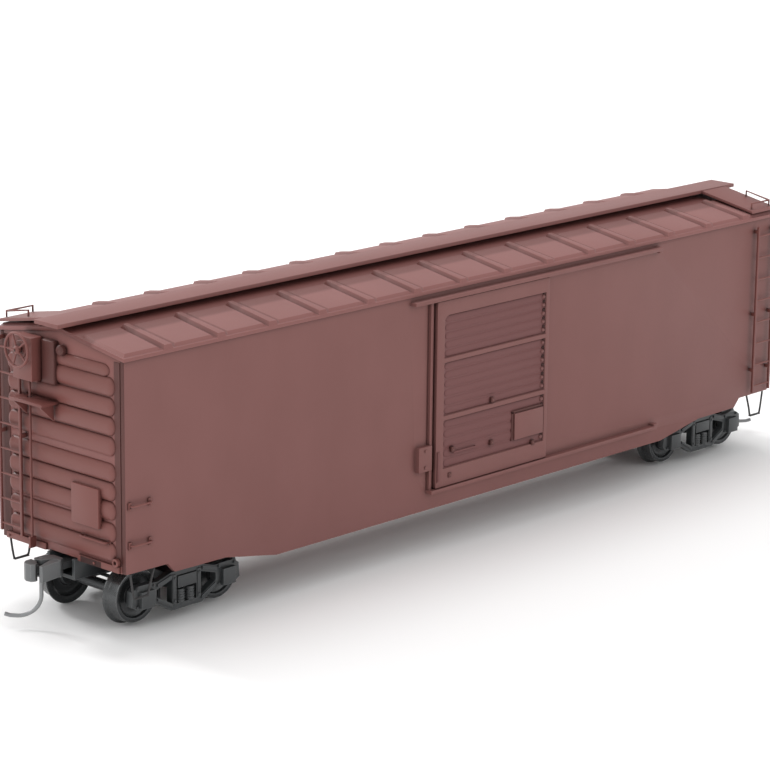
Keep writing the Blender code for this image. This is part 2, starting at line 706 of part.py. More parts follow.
def brake_platform():
    """The step below the brake wheel, fixed between two ribs, with its two brackets."""
    out = END_X + 4.2
    z = (END_RIBS[6] + END_RIBS[7]) / 2 - 0.25
    step = box((END_X + FIXED_GAP, out), (-BRAKE_Y - 2.6, -BRAKE_Y + 6.0), (z, z + 0.5))
    inner = END_X + END_RIB_HIGH + 0.15
    for y in (-BRAKE_Y - 2.0, -BRAKE_Y + 5.0):
        bracket = [(inner, z + BITE), (out - 0.4, z + BITE), (out - 0.4, z - 0.3), (inner, z - 3.0)]
        step = join(step, slab(bracket, y, y + 0.4, axis="Y"))
    step = cut(step, cylinder((END_X + 1.7, -BRAKE_Y, z), 0.45, 3.0, sides=12))
    return finish(step, "brake_platform", "red", turn=math.pi)


def brake_rod():
    """The rod that runs from the gear housing down to the bell crank under the end sill."""
    x = END_X + 1.7
    top = case_bottom() - FIXED_GAP
    low = CORNER_Z + 0.4
    rod = wire([(x, -BRAKE_Y, top), (x, -BRAKE_Y, low + 1.8)], 0.24)
    crank = box((x - 0.7, x + 0.7), (-BRAKE_Y - 0.25, -BRAKE_Y + 0.25), (low, low + 2.0))
    return finish(join(rod, crank), "brake_rod", "red", turn=math.pi)


# ---------------------------------------------------------------- couplers


def coupler_box(name, turn):
    """The tray of a draft-gear box; the floor above it is its lid."""
    tray = box((BOX_BACK, BOX_FRONT), (-BOX_HALF, BOX_HALF), (BOX_Z, BOX_TOP))
    inside = box(
        (BOX_BACK + BOX_WALL, BOX_FRONT + 1),
        (-BOX_HALF + BOX_WALL, BOX_HALF - BOX_WALL),
        (BOX_Z + BOX_WALL, BOX_TOP + 1),
    )
    hole = cylinder((BOX_PIVOT, 0, BOX_Z), 0.85, 3.0, sides=20)
    return finish(cut(tray, inside, hole), name, "truck", turn=turn)


def box_screw(name, turn):
    """The screw that holds a coupler box up and is the post its coupler swings on."""
    head = cylinder((BOX_PIVOT, 0, BOX_Z - FIXED_GAP - 0.3), 1.6, 0.6, sides=20)
    slot = box((BOX_PIVOT - 2, BOX_PIVOT + 2), (-0.2, 0.2), (BOX_Z - 1.2, BOX_Z - 0.4))
    shank = cylinder((BOX_PIVOT, 0, 10.75), 0.8, 4.9, sides=20)
    return finish(cut(join(head, shank), slot), name, "steel", turn=turn)


def beyond(outline):
    """The outline moved so that its x is counted from the end of the body."""
    return [(END_X + x, y) for x, y in outline]


def coupler(name, turn):
    """Shank and head of a coupler, with the two lugs its knuckle hangs between and the guard arm."""
    low = COUPLER_Z - HEAD_HALF_HIGH
    high = COUPLER_Z + HEAD_HALF_HIGH
    ring = cylinder((BOX_PIVOT, 0, COUPLER_Z), 2.0, 1.2)
    shank = box((BOX_PIVOT + 1.0, END_X + 2.0), (-1.15, 1.15), (COUPLER_Z - 0.6, COUPLER_Z + 0.6))
    back = slab(beyond([(1.3, -1.3), (2.5, -2.2), (2.5, 2.0), (1.3, 1.3)]), low, high)
    lug = beyond([(2.2, -2.3), (4.8, -2.3), (5.3, -1.4), (4.8, -0.4), (3.4, 0.2), (2.2, 1.2)])
    lugs = [slab(lug, low, low + 0.72), slab(lug, high - 0.72, high)]
    arm = beyond([(2.2, 0.6), (3.7, 0.5), (4.9, 1.0), (7.1, 1.9), (7.0, 2.5), (4.6, 2.2), (2.2, 1.9)])
    head = join(ring, shank, back, *lugs, slab(arm, low + 0.1, high - 0.1))
    head = cut(head, cylinder((BOX_PIVOT, 0, COUPLER_Z), 0.95, 4, sides=20))
    head = cut(head, cylinder((KNUCKLE_X, KNUCKLE_Y, COUPLER_Z), PIN_RADIUS + 0.1, 6, sides=16))
    return finish(head, name, "steel", pivot=(BOX_PIVOT, 0, COUPLER_Z), turn=turn)


def knuckle(name, turn):
    """The hooked knuckle, its tang running between the lugs of the head."""
    half = HEAD_HALF_HIGH - 0.72 - 0.12
    tang = beyond([(3.3, -2.1), (6.0, -2.1), (6.0, -0.6), (3.5, -0.65)])
    nose = beyond([
        (5.55, -2.15), (6.7, -2.15), (7.6, -1.6), (8.0, -0.6), (7.8, 0.4), (7.1, 0.8), (6.4, 0.5),
        (6.2, -0.2), (5.6, -0.6),
    ])
    body = slab(tang, COUPLER_Z - half, COUPLER_Z + half)
    body = join(body, slab(nose, COUPLER_Z - HEAD_HALF_HIGH, COUPLER_Z + HEAD_HALF_HIGH))
    body = cut(body, cylinder((KNUCKLE_X, KNUCKLE_Y, COUPLER_Z), PIN_RADIUS + 0.04, 6, sides=16))
    return finish(body, name, "steel", pivot=(KNUCKLE_X, KNUCKLE_Y, COUPLER_Z), turn=turn)


def trip_pin(name, turn):
    """The steel pin the knuckle turns on, bent out below like an air hose."""
    straight = 5.6
    bend = 3.8
    path = [(0.0, COUPLER_Z + HEAD_HALF_HIGH), (0.0, straight)]
    for number in range(1, 9):
        angle = math.radians(90 * number / 8)
        path.append((bend * (1 - math.cos(angle)) * 1.1, straight - bend * math.sin(angle)))
    path.append((path[-1][0] + 1.3, path[-1][1] + 0.08))
    path.append((path[-1][0] + 1.0, path[-1][1] + 0.3))
    way = math.radians(-45)
    points = [(KNUCKLE_X + r * math.cos(way), KNUCKLE_Y + r * math.sin(way), z) for r, z in path]
    pin = wire(points, PIN_RADIUS, resolution=2)
    return finish(pin, name, "steel", pivot=(KNUCKLE_X, KNUCKLE_Y, COUPLER_Z), turn=turn, smooth=True)


# ---------------------------------------------------------------- trucks


def truck_bolster(name, turn):
    """The cross beam of a truck with its centre bowl, ends carried in the side-frame windows."""
    reach = FRAME_OUTER + 0.25
    outline = [(-reach, 5.8), (-8.5, 5.0), (8.5, 5.0), (reach, 5.8), (reach, 7.9), (-reach, 7.9)]
    beam = slab(outline, TRUCK_X - BOLSTER_HALF, TRUCK_X + BOLSTER_HALF, axis="X")
    bowl = cylinder((TRUCK_X, 0, (7.6 + CENTRE_PLATE_Z - 0.1) / 2), 3.0, CENTRE_PLATE_Z - 0.1 - 7.6)
    beam = join(beam, bowl)
    beam = cut(beam, cylinder((TRUCK_X, 0, 7.0), 0.95, 8, sides=20))
    return finish(beam, name, "truck", pivot=(TRUCK_X, 0, CENTRE_PLATE_Z), turn=turn)


def side_frame(name, sign, turn):
    """A cast side frame: truss outline, bolster window, spring group, journal boxes and axle sockets."""
    middle = WHEEL_BASE / 2
    half = [
        (3.4, 8.9), (middle - 2.8, 7.9), (middle - 1.6, 8.0), (middle + 1.7, 8.05), (middle + 3.0, 7.2),
        (middle + 3.2, 4.6), (middle + 2.0, 3.8), (middle - 1.7, 3.75), (middle - 2.4, 4.1), (3.6, 1.9),
    ]
    outline = half + [(-x, z) for x, z in reversed(half)]
    y = sorted((sign * FRAME_INNER, sign * FRAME_OUTER))
    window = BOLSTER_HALF + RUNNING_GAP
    holes = [[(-window, 2.9), (window, 2.9), (window, 8.05), (-window, 8.05)]]
    for way in (-1, 1):
        corners = ((3.4, 3.2), (middle - 2.6, 5.1), (middle - 2.6, 6.5), (3.4, 7.6))
        holes.append([(way * x, z) for x, z in corners])
    frame = slab(outline, *y, axis="Y", holes=holes)
    for x in (-1.15, 1.15):
        spring = cylinder((x, sign * (FRAME_INNER + 0.75), 4.0), 0.85, 2.7, sides=14)
        frame = join(frame, spring)
    for way in (-1, 1):
        x = way * middle
        lid = sorted((sign * (FRAME_OUTER - BITE), sign * JOURNAL_LID))
        cover = box((x - 1.5, x + 1.5), lid, (4.0, 7.05))
        frame = join(frame, cover)
        place = (x, sign * (FRAME_INNER + 0.35), AXLE_Z)
        frame = cut(frame, cylinder(place, JOURNAL_RADIUS + RUNNING_GAP, 2.3, axis="Y", sides=20))
    for way in (-1, 1):
        chord = [(3.6, 8.55), (middle - 2.6, 7.6), (middle - 2.6, 7.1), (3.6, 8.0)]
        if way < 0:
            chord = [(-x, z) for x, z in reversed(chord)]
        rail = sorted((sign * (FRAME_OUTER - BITE), sign * (FRAME_OUTER + 0.35)))
        frame = join(frame, slab(chord, *rail, axis="Y"))
    frame.data.transform(Matrix.Translation((TRUCK_X * MM, 0, 0)))
    return finish(frame, name, "truck", pivot=(TRUCK_X, 0, CENTRE_PLATE_Z), turn=turn)


def king_screw(name, turn):
    """The screw a truck swings on."""
    head = cylinder((TRUCK_X, 0, 4.6), 1.9, 0.7, sides=20)
    shank = cylinder((TRUCK_X, 0, 8.2), 0.7, 7.0, sides=16)
    slot = box((TRUCK_X - 3, TRUCK_X + 3), (-0.22, 0.22), (4.0, 4.5))
    return finish(cut(join(head, shank), slot), name, "steel", turn=turn)


def axle(name, offset, turn):
    """An axle with a journal and a pointed tip at each end."""
    seat = WHEEL_FRONT + 0.1
    bar = cylinder((0, 0, 0), AXLE_RADIUS, 2 * seat, sides=20)
    for sign in (1, -1):
        journal = cylinder((0, 0, sign * (seat + 0.45)), JOURNAL_RADIUS, 1.2, sides=20)
        radii = (JOURNAL_RADIUS, POINT_RADIUS) if sign > 0 else (POINT_RADIUS, JOURNAL_RADIUS)
        point = cylinder((0, 0, sign * (seat + 1.45)), radii[0], 0.8, sides=20, tip=radii[1])
        bar = join(bar, journal, point)
    middle = (TRUCK_X + offset, 0, AXLE_Z)
    bar.data.transform(Matrix.Translation(Vector(middle) * MM) @ Matrix.Rotation(-math.pi / 2, 4, "X"))
    return finish(bar, name, "steel", pivot=middle, turn=turn)


def wheel(name, offset, sign, turn):
    """A wheel with flange, coned tread, dished plate and hub, turned about its axle."""
    profile = [
        (AXLE_RADIUS + FIXED_GAP, WHEEL_BACK), (2.0, WHEEL_BACK), (2.2, 7.9), (TREAD_RADIUS - 0.95, 7.9),
        (TREAD_RADIUS - 0.75, 7.3), (FLANGE_RADIUS - 0.25, 7.3), (FLANGE_RADIUS, 7.5),
        (FLANGE_RADIUS - 0.15, 7.8), (TREAD_RADIUS + 0.06, 8.05), (TREAD_RADIUS - 0.06, 10.15),
        (TREAD_RADIUS - 0.2, 10.3),
        (TREAD_RADIUS - 0.9, 10.3), (TREAD_RADIUS - 1.1, 9.7), (2.1, 9.4), (1.95, WHEEL_FRONT),
        (AXLE_RADIUS + FIXED_GAP, WHEEL_FRONT),
    ]
    disc = turned(profile, steps=24)
    middle = (TRUCK_X + offset, 0, AXLE_Z)
    way = Matrix.Rotation(-sign * math.pi / 2, 4, "X")
    disc.data.transform(Matrix.Translation(Vector(middle) * MM) @ way)
    return finish(disc, name, "truck", pivot=middle, turn=turn)


def build():
    clear_scene()
    roof()
    running_board()
    underframe()
    weight()
    for end, turn in (("a", 0.0), ("b", math.pi)):
        flank = "near" if end == "a" else "far"
        side(f"side_{flank}", turn)
        door(f"door_{flank}", turn)
        end_wall(f"end_{end}", turn)
        side_ladder(f"side_ladder_{end}", turn)
        end_ladder(f"end_ladder_{end}", turn)
        sill_step(f"ladder_step_{end}", -1, turn)
        sill_step(f"grab_step_{end}", 1, turn)
        side_grab(f"side_grab_upper_{end}", CORNER_Z + 12.2, turn)
        side_grab(f"side_grab_lower_{end}", CORNER_Z + 5.2, turn)
        end_grab(f"end_grab_{end}", turn)
        roof_grab(f"roof_grab_{end}", turn)
        coupler_box(f"coupler_box_{end}", turn)
        box_screw(f"box_screw_{end}", turn)
        coupler(f"coupler_{end}", turn)
        knuckle(f"knuckle_{end}", turn)
        trip_pin(f"trip_pin_{end}", turn)
        truck_bolster(f"truck_bolster_{end}", turn)
        king_screw(f"king_screw_{end}", turn)
        side_frame(f"side_frame_{end}_1", -1, turn)
        side_frame(f"side_frame_{end}_2", 1, turn)
        for place, offset in (("inner", -WHEEL_BASE / 2), ("outer", WHEEL_BASE / 2)):
            axle(f"axle_{end}_{place}", offset, turn)
            wheel(f"wheel_{end}_{place}_1", offset, -1, turn)
            wheel(f"wheel_{end}_{place}_2", offset, 1, turn)
    brake_housing()
    brake_wheel()
    brake_platform()
    brake_rod()


build()
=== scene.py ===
# %% [markdown]
# # A model box car in HO scale
# The car is a moulded shell on two swivelling trucks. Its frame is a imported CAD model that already
# stands, slides, swivels and rolls as it should. This lesson gives it its looks: each plain solid is
# remade with the edges, ridges, castings and wires of the real model, and each finish is a node
# material. Lengths are in millimetres and are turned into metres by MM.

# %% Load the frame
import math

import bpy
from mathutils import Matrix, Vector


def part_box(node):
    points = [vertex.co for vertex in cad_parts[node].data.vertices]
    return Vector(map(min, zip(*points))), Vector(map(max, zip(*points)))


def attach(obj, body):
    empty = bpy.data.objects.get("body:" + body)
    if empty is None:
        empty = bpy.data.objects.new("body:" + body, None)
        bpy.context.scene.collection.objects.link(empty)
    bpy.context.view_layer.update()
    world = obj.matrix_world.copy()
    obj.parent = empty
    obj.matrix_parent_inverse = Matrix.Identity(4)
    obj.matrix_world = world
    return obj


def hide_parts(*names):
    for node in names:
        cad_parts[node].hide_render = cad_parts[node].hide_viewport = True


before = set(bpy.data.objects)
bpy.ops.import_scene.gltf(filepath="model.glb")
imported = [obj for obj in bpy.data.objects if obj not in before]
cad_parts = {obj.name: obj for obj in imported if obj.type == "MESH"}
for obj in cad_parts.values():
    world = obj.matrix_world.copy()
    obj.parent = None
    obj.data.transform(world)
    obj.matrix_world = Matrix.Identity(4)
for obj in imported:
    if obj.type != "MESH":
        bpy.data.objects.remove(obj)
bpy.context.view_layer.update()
MM = 0.001

# %% [markdown]
# ## Measures
# The looks have to sit exactly on the frame, so sizes are read from the CAD nodes and not typed
# again. `span` gives the room a node takes along each axis.

# %% Measure the frame


def span(node):
    """The room a CAD node takes, in millimetres: (low, high) along X, Y and Z."""
    low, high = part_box(node)
    return [(low[axis] / MM, high[axis] / MM) for axis in range(3)]


END_X = span("side_near")[0][1]
SIDE_Y = span("grab_step_a")[1][1]
EAVE_Z = span("roof")[2][0] + 0.06
RIDGE_RISE = 2.6
ROOF_SLOPE = RIDGE_RISE / SIDE_Y
CORNER_Z = span("end_a")[2][0]
WALL = 1.0
GAP = 0.05
print(f"body {2 * END_X:.1f} long, {2 * SIDE_Y:.1f} wide, eave at {EAVE_Z:.2f}")

# %% [markdown]
# ## Camera
# The camera stands to the left of the near side and a little above the roof, with a long lens, so
# that the car's long lines stay nearly parallel. It leans by less than a degree.

# %% Set up the camera
YAW = math.radians(46.53)
PITCH = math.radians(14.51)
LEAN = math.radians(0.655)
LENS = 143.8
CAMERA_AT = Vector((-421.1, -389.9, 174.9)) * MM

ahead = Vector((math.sin(YAW) * math.cos(PITCH), math.cos(YAW) * math.cos(PITCH), -math.sin(PITCH)))
level = Vector((math.cos(YAW), -math.sin(YAW), 0.0))
upward = level.cross(ahead)
camera_x = math.cos(LEAN) * level + math.sin(LEAN) * upward
camera_y = math.cos(LEAN) * upward - math.sin(LEAN) * level
camera_turn = Matrix((camera_x, camera_y, -ahead)).transposed()

camera_data = bpy.data.cameras.new("camera")
camera_data.lens = LENS
camera_data.sensor_width = 36.0
camera_data.clip_start = 0.01
camera_data.clip_end = 20.0
camera = bpy.data.objects.new("camera", camera_data)
camera.matrix_world = Matrix.Translation(CAMERA_AT) @ camera_turn.to_4x4()
bpy.context.scene.collection.objects.link(camera)
bpy.context.scene.camera = camera
print("camera at", tuple(round(value, 3) for value in CAMERA_AT))

# %% [markdown]
# ## Floor and light
# The floor is plain and pale, and the light is soft from all round, as in a light tent. A sky alone
# would give no shadows and one lamp would give hard ones, so a bright sky is joined by four panels.
# Those overhead and behind graze the roof and set the walk's shadow on it; weaker ones in front and
# on the left keep the upright faces a little darker than the roof.

# %% Floor, sky and lamps


def node_material(name):
    """A new material with its node tree and its Principled shader."""
    material = bpy.data.materials.new(name)
    material.use_nodes = True
    return material, material.node_tree, material.node_tree.nodes["Principled BSDF"]


FLOOR_SIZE = 12.0
FLOOR_DROP = 0.2 * MM
PALE = (0.93, 0.93, 0.93, 1)
SKY_STRENGTH = 0.86
LAMP_AIM = Vector((0, 0, 30)) * MM
bpy.ops.object.select_all(action="DESELECT")
bpy.ops.mesh.primitive_plane_add(size=FLOOR_SIZE, location=(0, 0, -FLOOR_DROP))
floor = bpy.context.object
floor.name = "floor"
floor_paint, _, floor_shader = node_material("floor_white")
floor_shader.inputs["Base Color"].default_value = PALE
floor_shader.inputs["Roughness"].default_value = 0.9
floor.data.materials.append(floor_paint)

sky = bpy.data.worlds.new("sky")
sky.use_nodes = True
sky.node_tree.nodes["Background"].inputs["Color"].default_value = (1.0, 1.0, 1.0, 1)
sky.node_tree.nodes["Background"].inputs["Strength"].default_value = SKY_STRENGTH
bpy.context.scene.world = sky
bpy.context.scene.view_settings.view_transform = "Standard"


def lamp(name, place, size, power):
    """A square soft lamp aimed at the middle of the car."""
    data = bpy.data.lights.new(name, "AREA")
    data.size = size
    data.energy = power
    obj = bpy.data.objects.new(name, data)
    obj.location = place
    obj.rotation_euler = (LAMP_AIM - obj.location).to_track_quat("-Z", "Y").to_euler()
    bpy.context.scene.collection.objects.link(obj)


lamp("overhead", (0.1, 0.25, 0.95), 0.6, 3.2)
lamp("front", (0.35, -1.3, 0.55), 0.9, 2.2)
lamp("left", (-1.3, 0.1, 0.75), 0.5, 1.6)
lamp("behind", (-0.15, 1.35, 0.8), 0.3, 10.0)
print("floor, sky and four lamps are ready")

# %% [markdown]
# ## Finishes
# A scale model is sprayed with thin flat paint. Seen close, such paint has a fine grain, a slight
# drift of tone over the large faces, and edges a little paler, partly where handling has rubbed it and
# partly as a painted highlight. All the finishes share these three layers, so one function builds the
# nodes: a slow noise drifts the tone, a fine noise gives grain to roughness and bump, and the
# difference between the true normal and a rounded one marks the edges. Ambient occlusion over about
# a millimetre darkens corners and recesses as painted shade.

# %% Finish builder
GRAIN_SCALE = 7000.0
GRAIN_DEPTH = 0.02 * MM
DRIFT_SCALE = 38.0
EDGE_RADIUS = 0.16 * MM
EDGE_SHARE = 0.55
# How far and how strongly painted shade darkens corners and recesses.
CORNER_REACH = 1.3 * MM
CORNER_SHADE = 0.8
GLOSS_SPREAD = 0.09
# The dark red of the walk's shadow, painted on the roof.
WALK_SHADOW_RED = (0.100, 0.027, 0.022)


def coat(name, colour, other, rough, grain=0.25, wear_and_highlight=None, metal=0.0, streak=0.0,
         specular=0.35, band=None):
    """A finish that drifts between two tones and is grained, with edges paler as worn paint and as a
    painted highlight, and with painted shade in its corners.

    A band (near, far, share) darkens it towards the car's middle line as the walk's painted shadow.
    """
    material, tree, shader = node_material(name)
    links = tree.links

    def node(kind, **settings):
        made = tree.nodes.new(kind)
        for key, value in settings.items():
            setattr(made, key, value)
        return made

    def noise(vector, scale, detail):
        made = node("ShaderNodeTexNoise")
        made.inputs["Scale"].default_value = scale
        made.inputs["Detail"].default_value = detail
        links.new(vector, made.inputs["Vector"])
        return made.outputs["Fac"]

    def ranged(value, start, end, low=0.0, high=1.0, **settings):
        """Turn the range from start to end into the range from low to high."""
        made = node("ShaderNodeMapRange", **settings)
        names = ("From Min", "From Max", "To Min", "To Max")
        for socket, number in zip(names, (start, end, low, high)):
            made.inputs[socket].default_value = number
        links.new(value, made.inputs["Value"])
        return made.outputs["Result"]

    def covered(under, over, share):
        """A colour or socket, covered by another colour as far as the share says."""
        made = node("ShaderNodeMix", data_type="RGBA")
        made.inputs["B"].default_value = (*over, 1)
        links.new(share, made.inputs["Factor"])
        if isinstance(under, tuple):
            made.inputs["A"].default_value = (*under, 1)
        else:
            links.new(under, made.inputs["A"])
        return made.outputs["Result"]

    place = node("ShaderNodeTexCoord").outputs["Object"]
    stretch = node("ShaderNodeMapping")
    stretch.inputs["Scale"].default_value = (1.0, 1.0, 1.0 - 0.9 * streak)
    links.new(place, stretch.inputs["Vector"])
    drift = noise(stretch.outputs["Vector"], DRIFT_SCALE * (1 + 5 * streak), 6.0)
    fine = noise(place, GRAIN_SCALE, 3.0)
    paint = covered(colour, other, ranged(drift, 0.35, 0.65))

    # Edges are paler: worn paint, and also a painted highlight along them.
    rounded = node("ShaderNodeBevel", samples=4)
    rounded.inputs["Radius"].default_value = EDGE_RADIUS
    match = node("ShaderNodeVectorMath", operation="DOT_PRODUCT")
    links.new(rounded.outputs["Normal"], match.inputs[0])
    links.new(node("ShaderNodeNewGeometry").outputs["Normal"], match.inputs[1])
    edge = ranged(match.outputs["Value"], 0.995, 0.93, high=EDGE_SHARE)
    paint = covered(paint, wear_and_highlight or [min(1.0, value * 1.5) for value in other], edge)

    # Ambient occlusion darkens corners and recesses with painted shade.
    corner = node("ShaderNodeAmbientOcclusion", samples=6)
    corner.inputs["Distance"].default_value = CORNER_REACH
    deep = ranged(corner.outputs["AO"], 0.35, 0.95, CORNER_SHADE, 0.0)
    paint = covered(paint, [value * 0.3 for value in other], deep)

    if band:
        near, far, share = band
        split = node("ShaderNodeSeparateXYZ")
        links.new(place, split.inputs["Vector"])
        away = node("ShaderNodeMath", operation="ABSOLUTE")
        links.new(split.outputs["Y"], away.inputs[0])
        # Painted shadow of the walk: the roof is darker towards its middle line.
        walk_shadow = ranged(away.outputs["Value"], near * MM, far * MM, share, 0.0,
                      interpolation_type="SMOOTHSTEP")
        paint = covered(paint, WALK_SHADOW_RED, walk_shadow)

    bump = node("ShaderNodeBump")
    bump.inputs["Strength"].default_value = grain
    bump.inputs["Distance"].default_value = GRAIN_DEPTH
    links.new(fine, bump.inputs["Height"])
    gloss = ranged(fine, 0.0, 1.0, rough - GLOSS_SPREAD, rough + GLOSS_SPREAD)
    links.new(paint, shader.inputs["Base Color"])
    links.new(gloss, shader.inputs["Roughness"])
    links.new(bump.outputs["Normal"], shader.inputs["Normal"])
    shader.inputs["Metallic"].default_value = metal
    shader.inputs["Specular IOR Level"].default_value = specular
    return material


print("a finish drifts", DRIFT_SCALE, "and is grained", GRAIN_SCALE, "times per metre")

# %% [markdown]
# The body is oxide red, a dull brown red that goes pinkish where light grazes it. Doors, sides and
# roof come from one spray. The roof and walk reds are paler than the side red, as painted light from
# above, and the door's recess red is darker, as painted shade; the end ribs are a darker red and the
# flat of the end sheets a paler one. The two darkest reds are painted shade, put where shade falls.
# Trucks and wheels are black plastic and blackened metal, the couplers are bare grey castings.

# %% Make the finishes
SIDE_RED = coat("oxide_red_side", (0.196, 0.080, 0.073), (0.186, 0.075, 0.068), 0.55, streak=0.4)
# The walk and roof reds are paler than the side red: painted light from above.
WALK_RED = coat("oxide_red_walk", (0.212, 0.085, 0.078), (0.195, 0.077, 0.070), 0.5, grain=0.3)
# Its band is the walk's shadow, painted on the roof.
ROOF_RED = coat("oxide_red_roof", (0.228, 0.089, 0.082), (0.209, 0.080, 0.073), 0.50, grain=0.3,
                band=(8.0, 9.2, 0.6))
END_RED = coat("oxide_red_end", (0.192, 0.068, 0.059), (0.173, 0.060, 0.051), 0.46)
PLATE_RED = coat("oxide_red_end_plate", (0.240, 0.093, 0.084), (0.220, 0.084, 0.075), 0.46)
# A dark red for painted shade: the end corner strips, the sides' upright ends and dark blocks by the
# doorway, the door's placard and lever, and the brake case.
PAINTED_SHADE_RED = coat("painted_shade_red", (0.105, 0.036, 0.031), (0.090, 0.030, 0.026), 0.55)
# The door recess red is darker than the side red: painted shade.
DOOR_RED = coat("oxide_red_recess_painted_shade", (0.156, 0.057, 0.055), (0.143, 0.050, 0.048), 0.55)
FITTING_RED = coat("oxide_red_fittings", (0.178, 0.062, 0.054), (0.155, 0.052, 0.045), 0.42)
# The darkest red, for painted shade in the end sill's slot and between the door's corrugation tips.
PAINTED_DEEP_SHADE_RED = coat("painted_deep_shade_red", (0.050, 0.018, 0.016), (0.040, 0.015, 0.013), 0.7)
STRAP_DARK = coat("strap_dark", (0.040, 0.036, 0.036), (0.030, 0.029, 0.030), 0.5)
UNDER_RED = coat("oxide_red_under", (0.150, 0.068, 0.060), (0.120, 0.055, 0.050), 0.65, grain=0.4)
# The truck's pale edges are a painted highlight as well as wear.
TRUCK_BLACK = coat("truck_black", (0.029, 0.032, 0.034), (0.041, 0.045, 0.047), 0.38, grain=0.35,
                   wear_and_highlight=(0.17, 0.178, 0.184), specular=0.5)
WHEEL_BLACK = coat("wheel_black", (0.032, 0.034, 0.036), (0.046, 0.049, 0.051), 0.25, metal=0.4,
                   wear_and_highlight=(0.22, 0.225, 0.23), specular=0.5)
TREAD_METAL = coat("wheel_tread", (0.060, 0.063, 0.065), (0.105, 0.108, 0.110), 0.27, metal=0.75,
                   wear_and_highlight=(0.3, 0.3, 0.3))
COUPLER_GREY = coat("coupler_grey", (0.115, 0.12, 0.125), (0.165, 0.17, 0.172), 0.4, metal=0.45,
                    wear_and_highlight=(0.36, 0.36, 0.36))
PIN_GREY = coat("trip_pin_grey", (0.22, 0.225, 0.23), (0.29, 0.295, 0.3), 0.4, metal=0.55,
                wear_and_highlight=(0.45, 0.45, 0.45))
SCREW_STEEL = coat("screw_steel", (0.42, 0.42, 0.41), (0.52, 0.52, 0.5), 0.33, metal=0.9)
WEIGHT_STEEL = coat("weight_steel", (0.24, 0.23, 0.215), (0.34, 0.33, 0.31), 0.45, metal=0.75)
print("finishes:", ", ".join(sorted(material.name for material in bpy.data.materials)))

# %% [markdown]
# ## Workshop helpers
# Every piece starts as a primitive at its place. It is then cut, inset, extruded or spun in edit
# mode. Faces, edges and vertices are picked by where they lie, and all else is deselected first.

# %% Primitives and picking


def pick(*objects):
    """Select only these objects and make the first one active."""
    if bpy.context.object and bpy.context.object.mode != "OBJECT":
        bpy.ops.object.mode_set(mode="OBJECT")
    bpy.ops.object.select_all(action="DESELECT")
    for obj in objects:
        obj.select_set(True)
    if objects:
        bpy.context.view_layer.objects.active = objects[0]


def settled(finish=None):
    """Put the active object's place into its mesh and give it a finish."""
    bpy.ops.object.transform_apply(location=True, rotation=True, scale=True)
    obj = bpy.context.object
    if finish:
        obj.data.materials.append(finish)
    return obj


def block(x, y, z, finish=None):
    """A block between two places along each axis."""
    pick()
    spans = (x, y, z)
    bpy.ops.mesh.primitive_cube_add(
        size=1.0,
        location=[(low + high) / 2 * MM for low, high in spans],
        scale=[abs(high - low) * MM for low, high in spans],
    )
    return settled(finish)


def bar(start, end, radius, finish=None, sides=16, tip=None):
    """A round bar, or a cone when the tip has its own radius."""
    pick()
    first, last = Vector(start) * MM, Vector(end) * MM
    bpy.ops.mesh.primitive_cone_add(
        vertices=sides,
        radius1=radius * MM,
        radius2=(radius if tip is None else tip) * MM,
        depth=(last - first).length,
        location=(first + last) / 2,
        rotation=(last - first).to_track_quat("Z", "Y").to_euler(),
    )
    return settled(finish)


def choose(obj, kind, test):
    """Enter edit mode with only the faces, edges or vertices that pass the test selected.

    The test gets the middle in millimetres, and the normal or direction.
    """
    pick(obj)
    bpy.ops.object.mode_set(mode="EDIT")
    bpy.ops.mesh.select_mode(type=kind)
    bpy.ops.mesh.select_all(action="DESELECT")
    bpy.ops.object.mode_set(mode="OBJECT")
    mesh = obj.data
    count = 0
    if kind == "FACE":
        for face in mesh.polygons:
            face.select = bool(test(face.center / MM, face.normal))
            count += face.select
    elif kind == "EDGE":
        for edge in mesh.edges:
            first, last = (mesh.vertices[number].co for number in edge.vertices)
            edge.select = bool(test((first + last) / 2 / MM, (last - first).normalized()))
            count += edge.select
    else:
        for vertex in mesh.vertices:
            vertex.select = bool(test(vertex.co / MM, None))
            count += vertex.select
    bpy.ops.object.mode_set(mode="EDIT")
    return count


def leave():
    """Go back to object mode, which also saves what was done in edit mode."""
    bpy.ops.object.mode_set(mode="OBJECT")


print("blocks and bars can be made and picked")

# %% [markdown]
# A bisect cuts new edges across a piece, so that the faces between them can be picked. A moulded edge
# is never quite sharp and catches a line of light, so nearly every block gets a narrow bevel.

# %% Cutting, softening and joining


def slice_at(obj, axis, places):
    """Cut new edge loops across an object at these places along an axis."""
    normal = [0.0, 0.0, 0.0]
    normal[axis] = 1.0
    for place in places:
        choose(obj, "FACE", lambda middle, way: True)
        spot = [0.0, 0.0, 0.0]
        spot[axis] = place * MM
        bpy.ops.mesh.bisect(plane_co=spot, plane_no=normal)
        leave()


def softly(obj, width, segments=2, angle=30):
    """Round an object's edges with a bevel."""
    pick(obj)
    bevel = obj.modifiers.new("soft", "BEVEL")
    bevel.width = width * MM
    bevel.segments = segments
    bevel.limit_method = "ANGLE"
    bevel.angle_limit = math.radians(angle)
    bpy.ops.object.modifier_apply(modifier=bevel.name)
    return obj


FINE_EDGE, SMALL_EDGE, SHEET_EDGE = 0.03, 0.08, 0.12


def soft_block(x, y, z, finish, width, segments=2):
    """A block with rounded edges."""
    return softly(block(x, y, z, finish), width, segments)


def joined(*objects):
    """Make one object of several; the first gives its place in the list of finishes."""
    pick(*objects)
    bpy.ops.object.join()
    return bpy.context.object


print("edges are softened by", FINE_EDGE, SMALL_EDGE, "or", SHEET_EDGE, "mm")

# %% [markdown]
# The car looks the same turned half way round, so a piece made for end A is copied, with its own
# mesh, for end B. A finished piece is named, shaded and tied to the body it moves with, and the CAD
# solids it stands for are hidden.

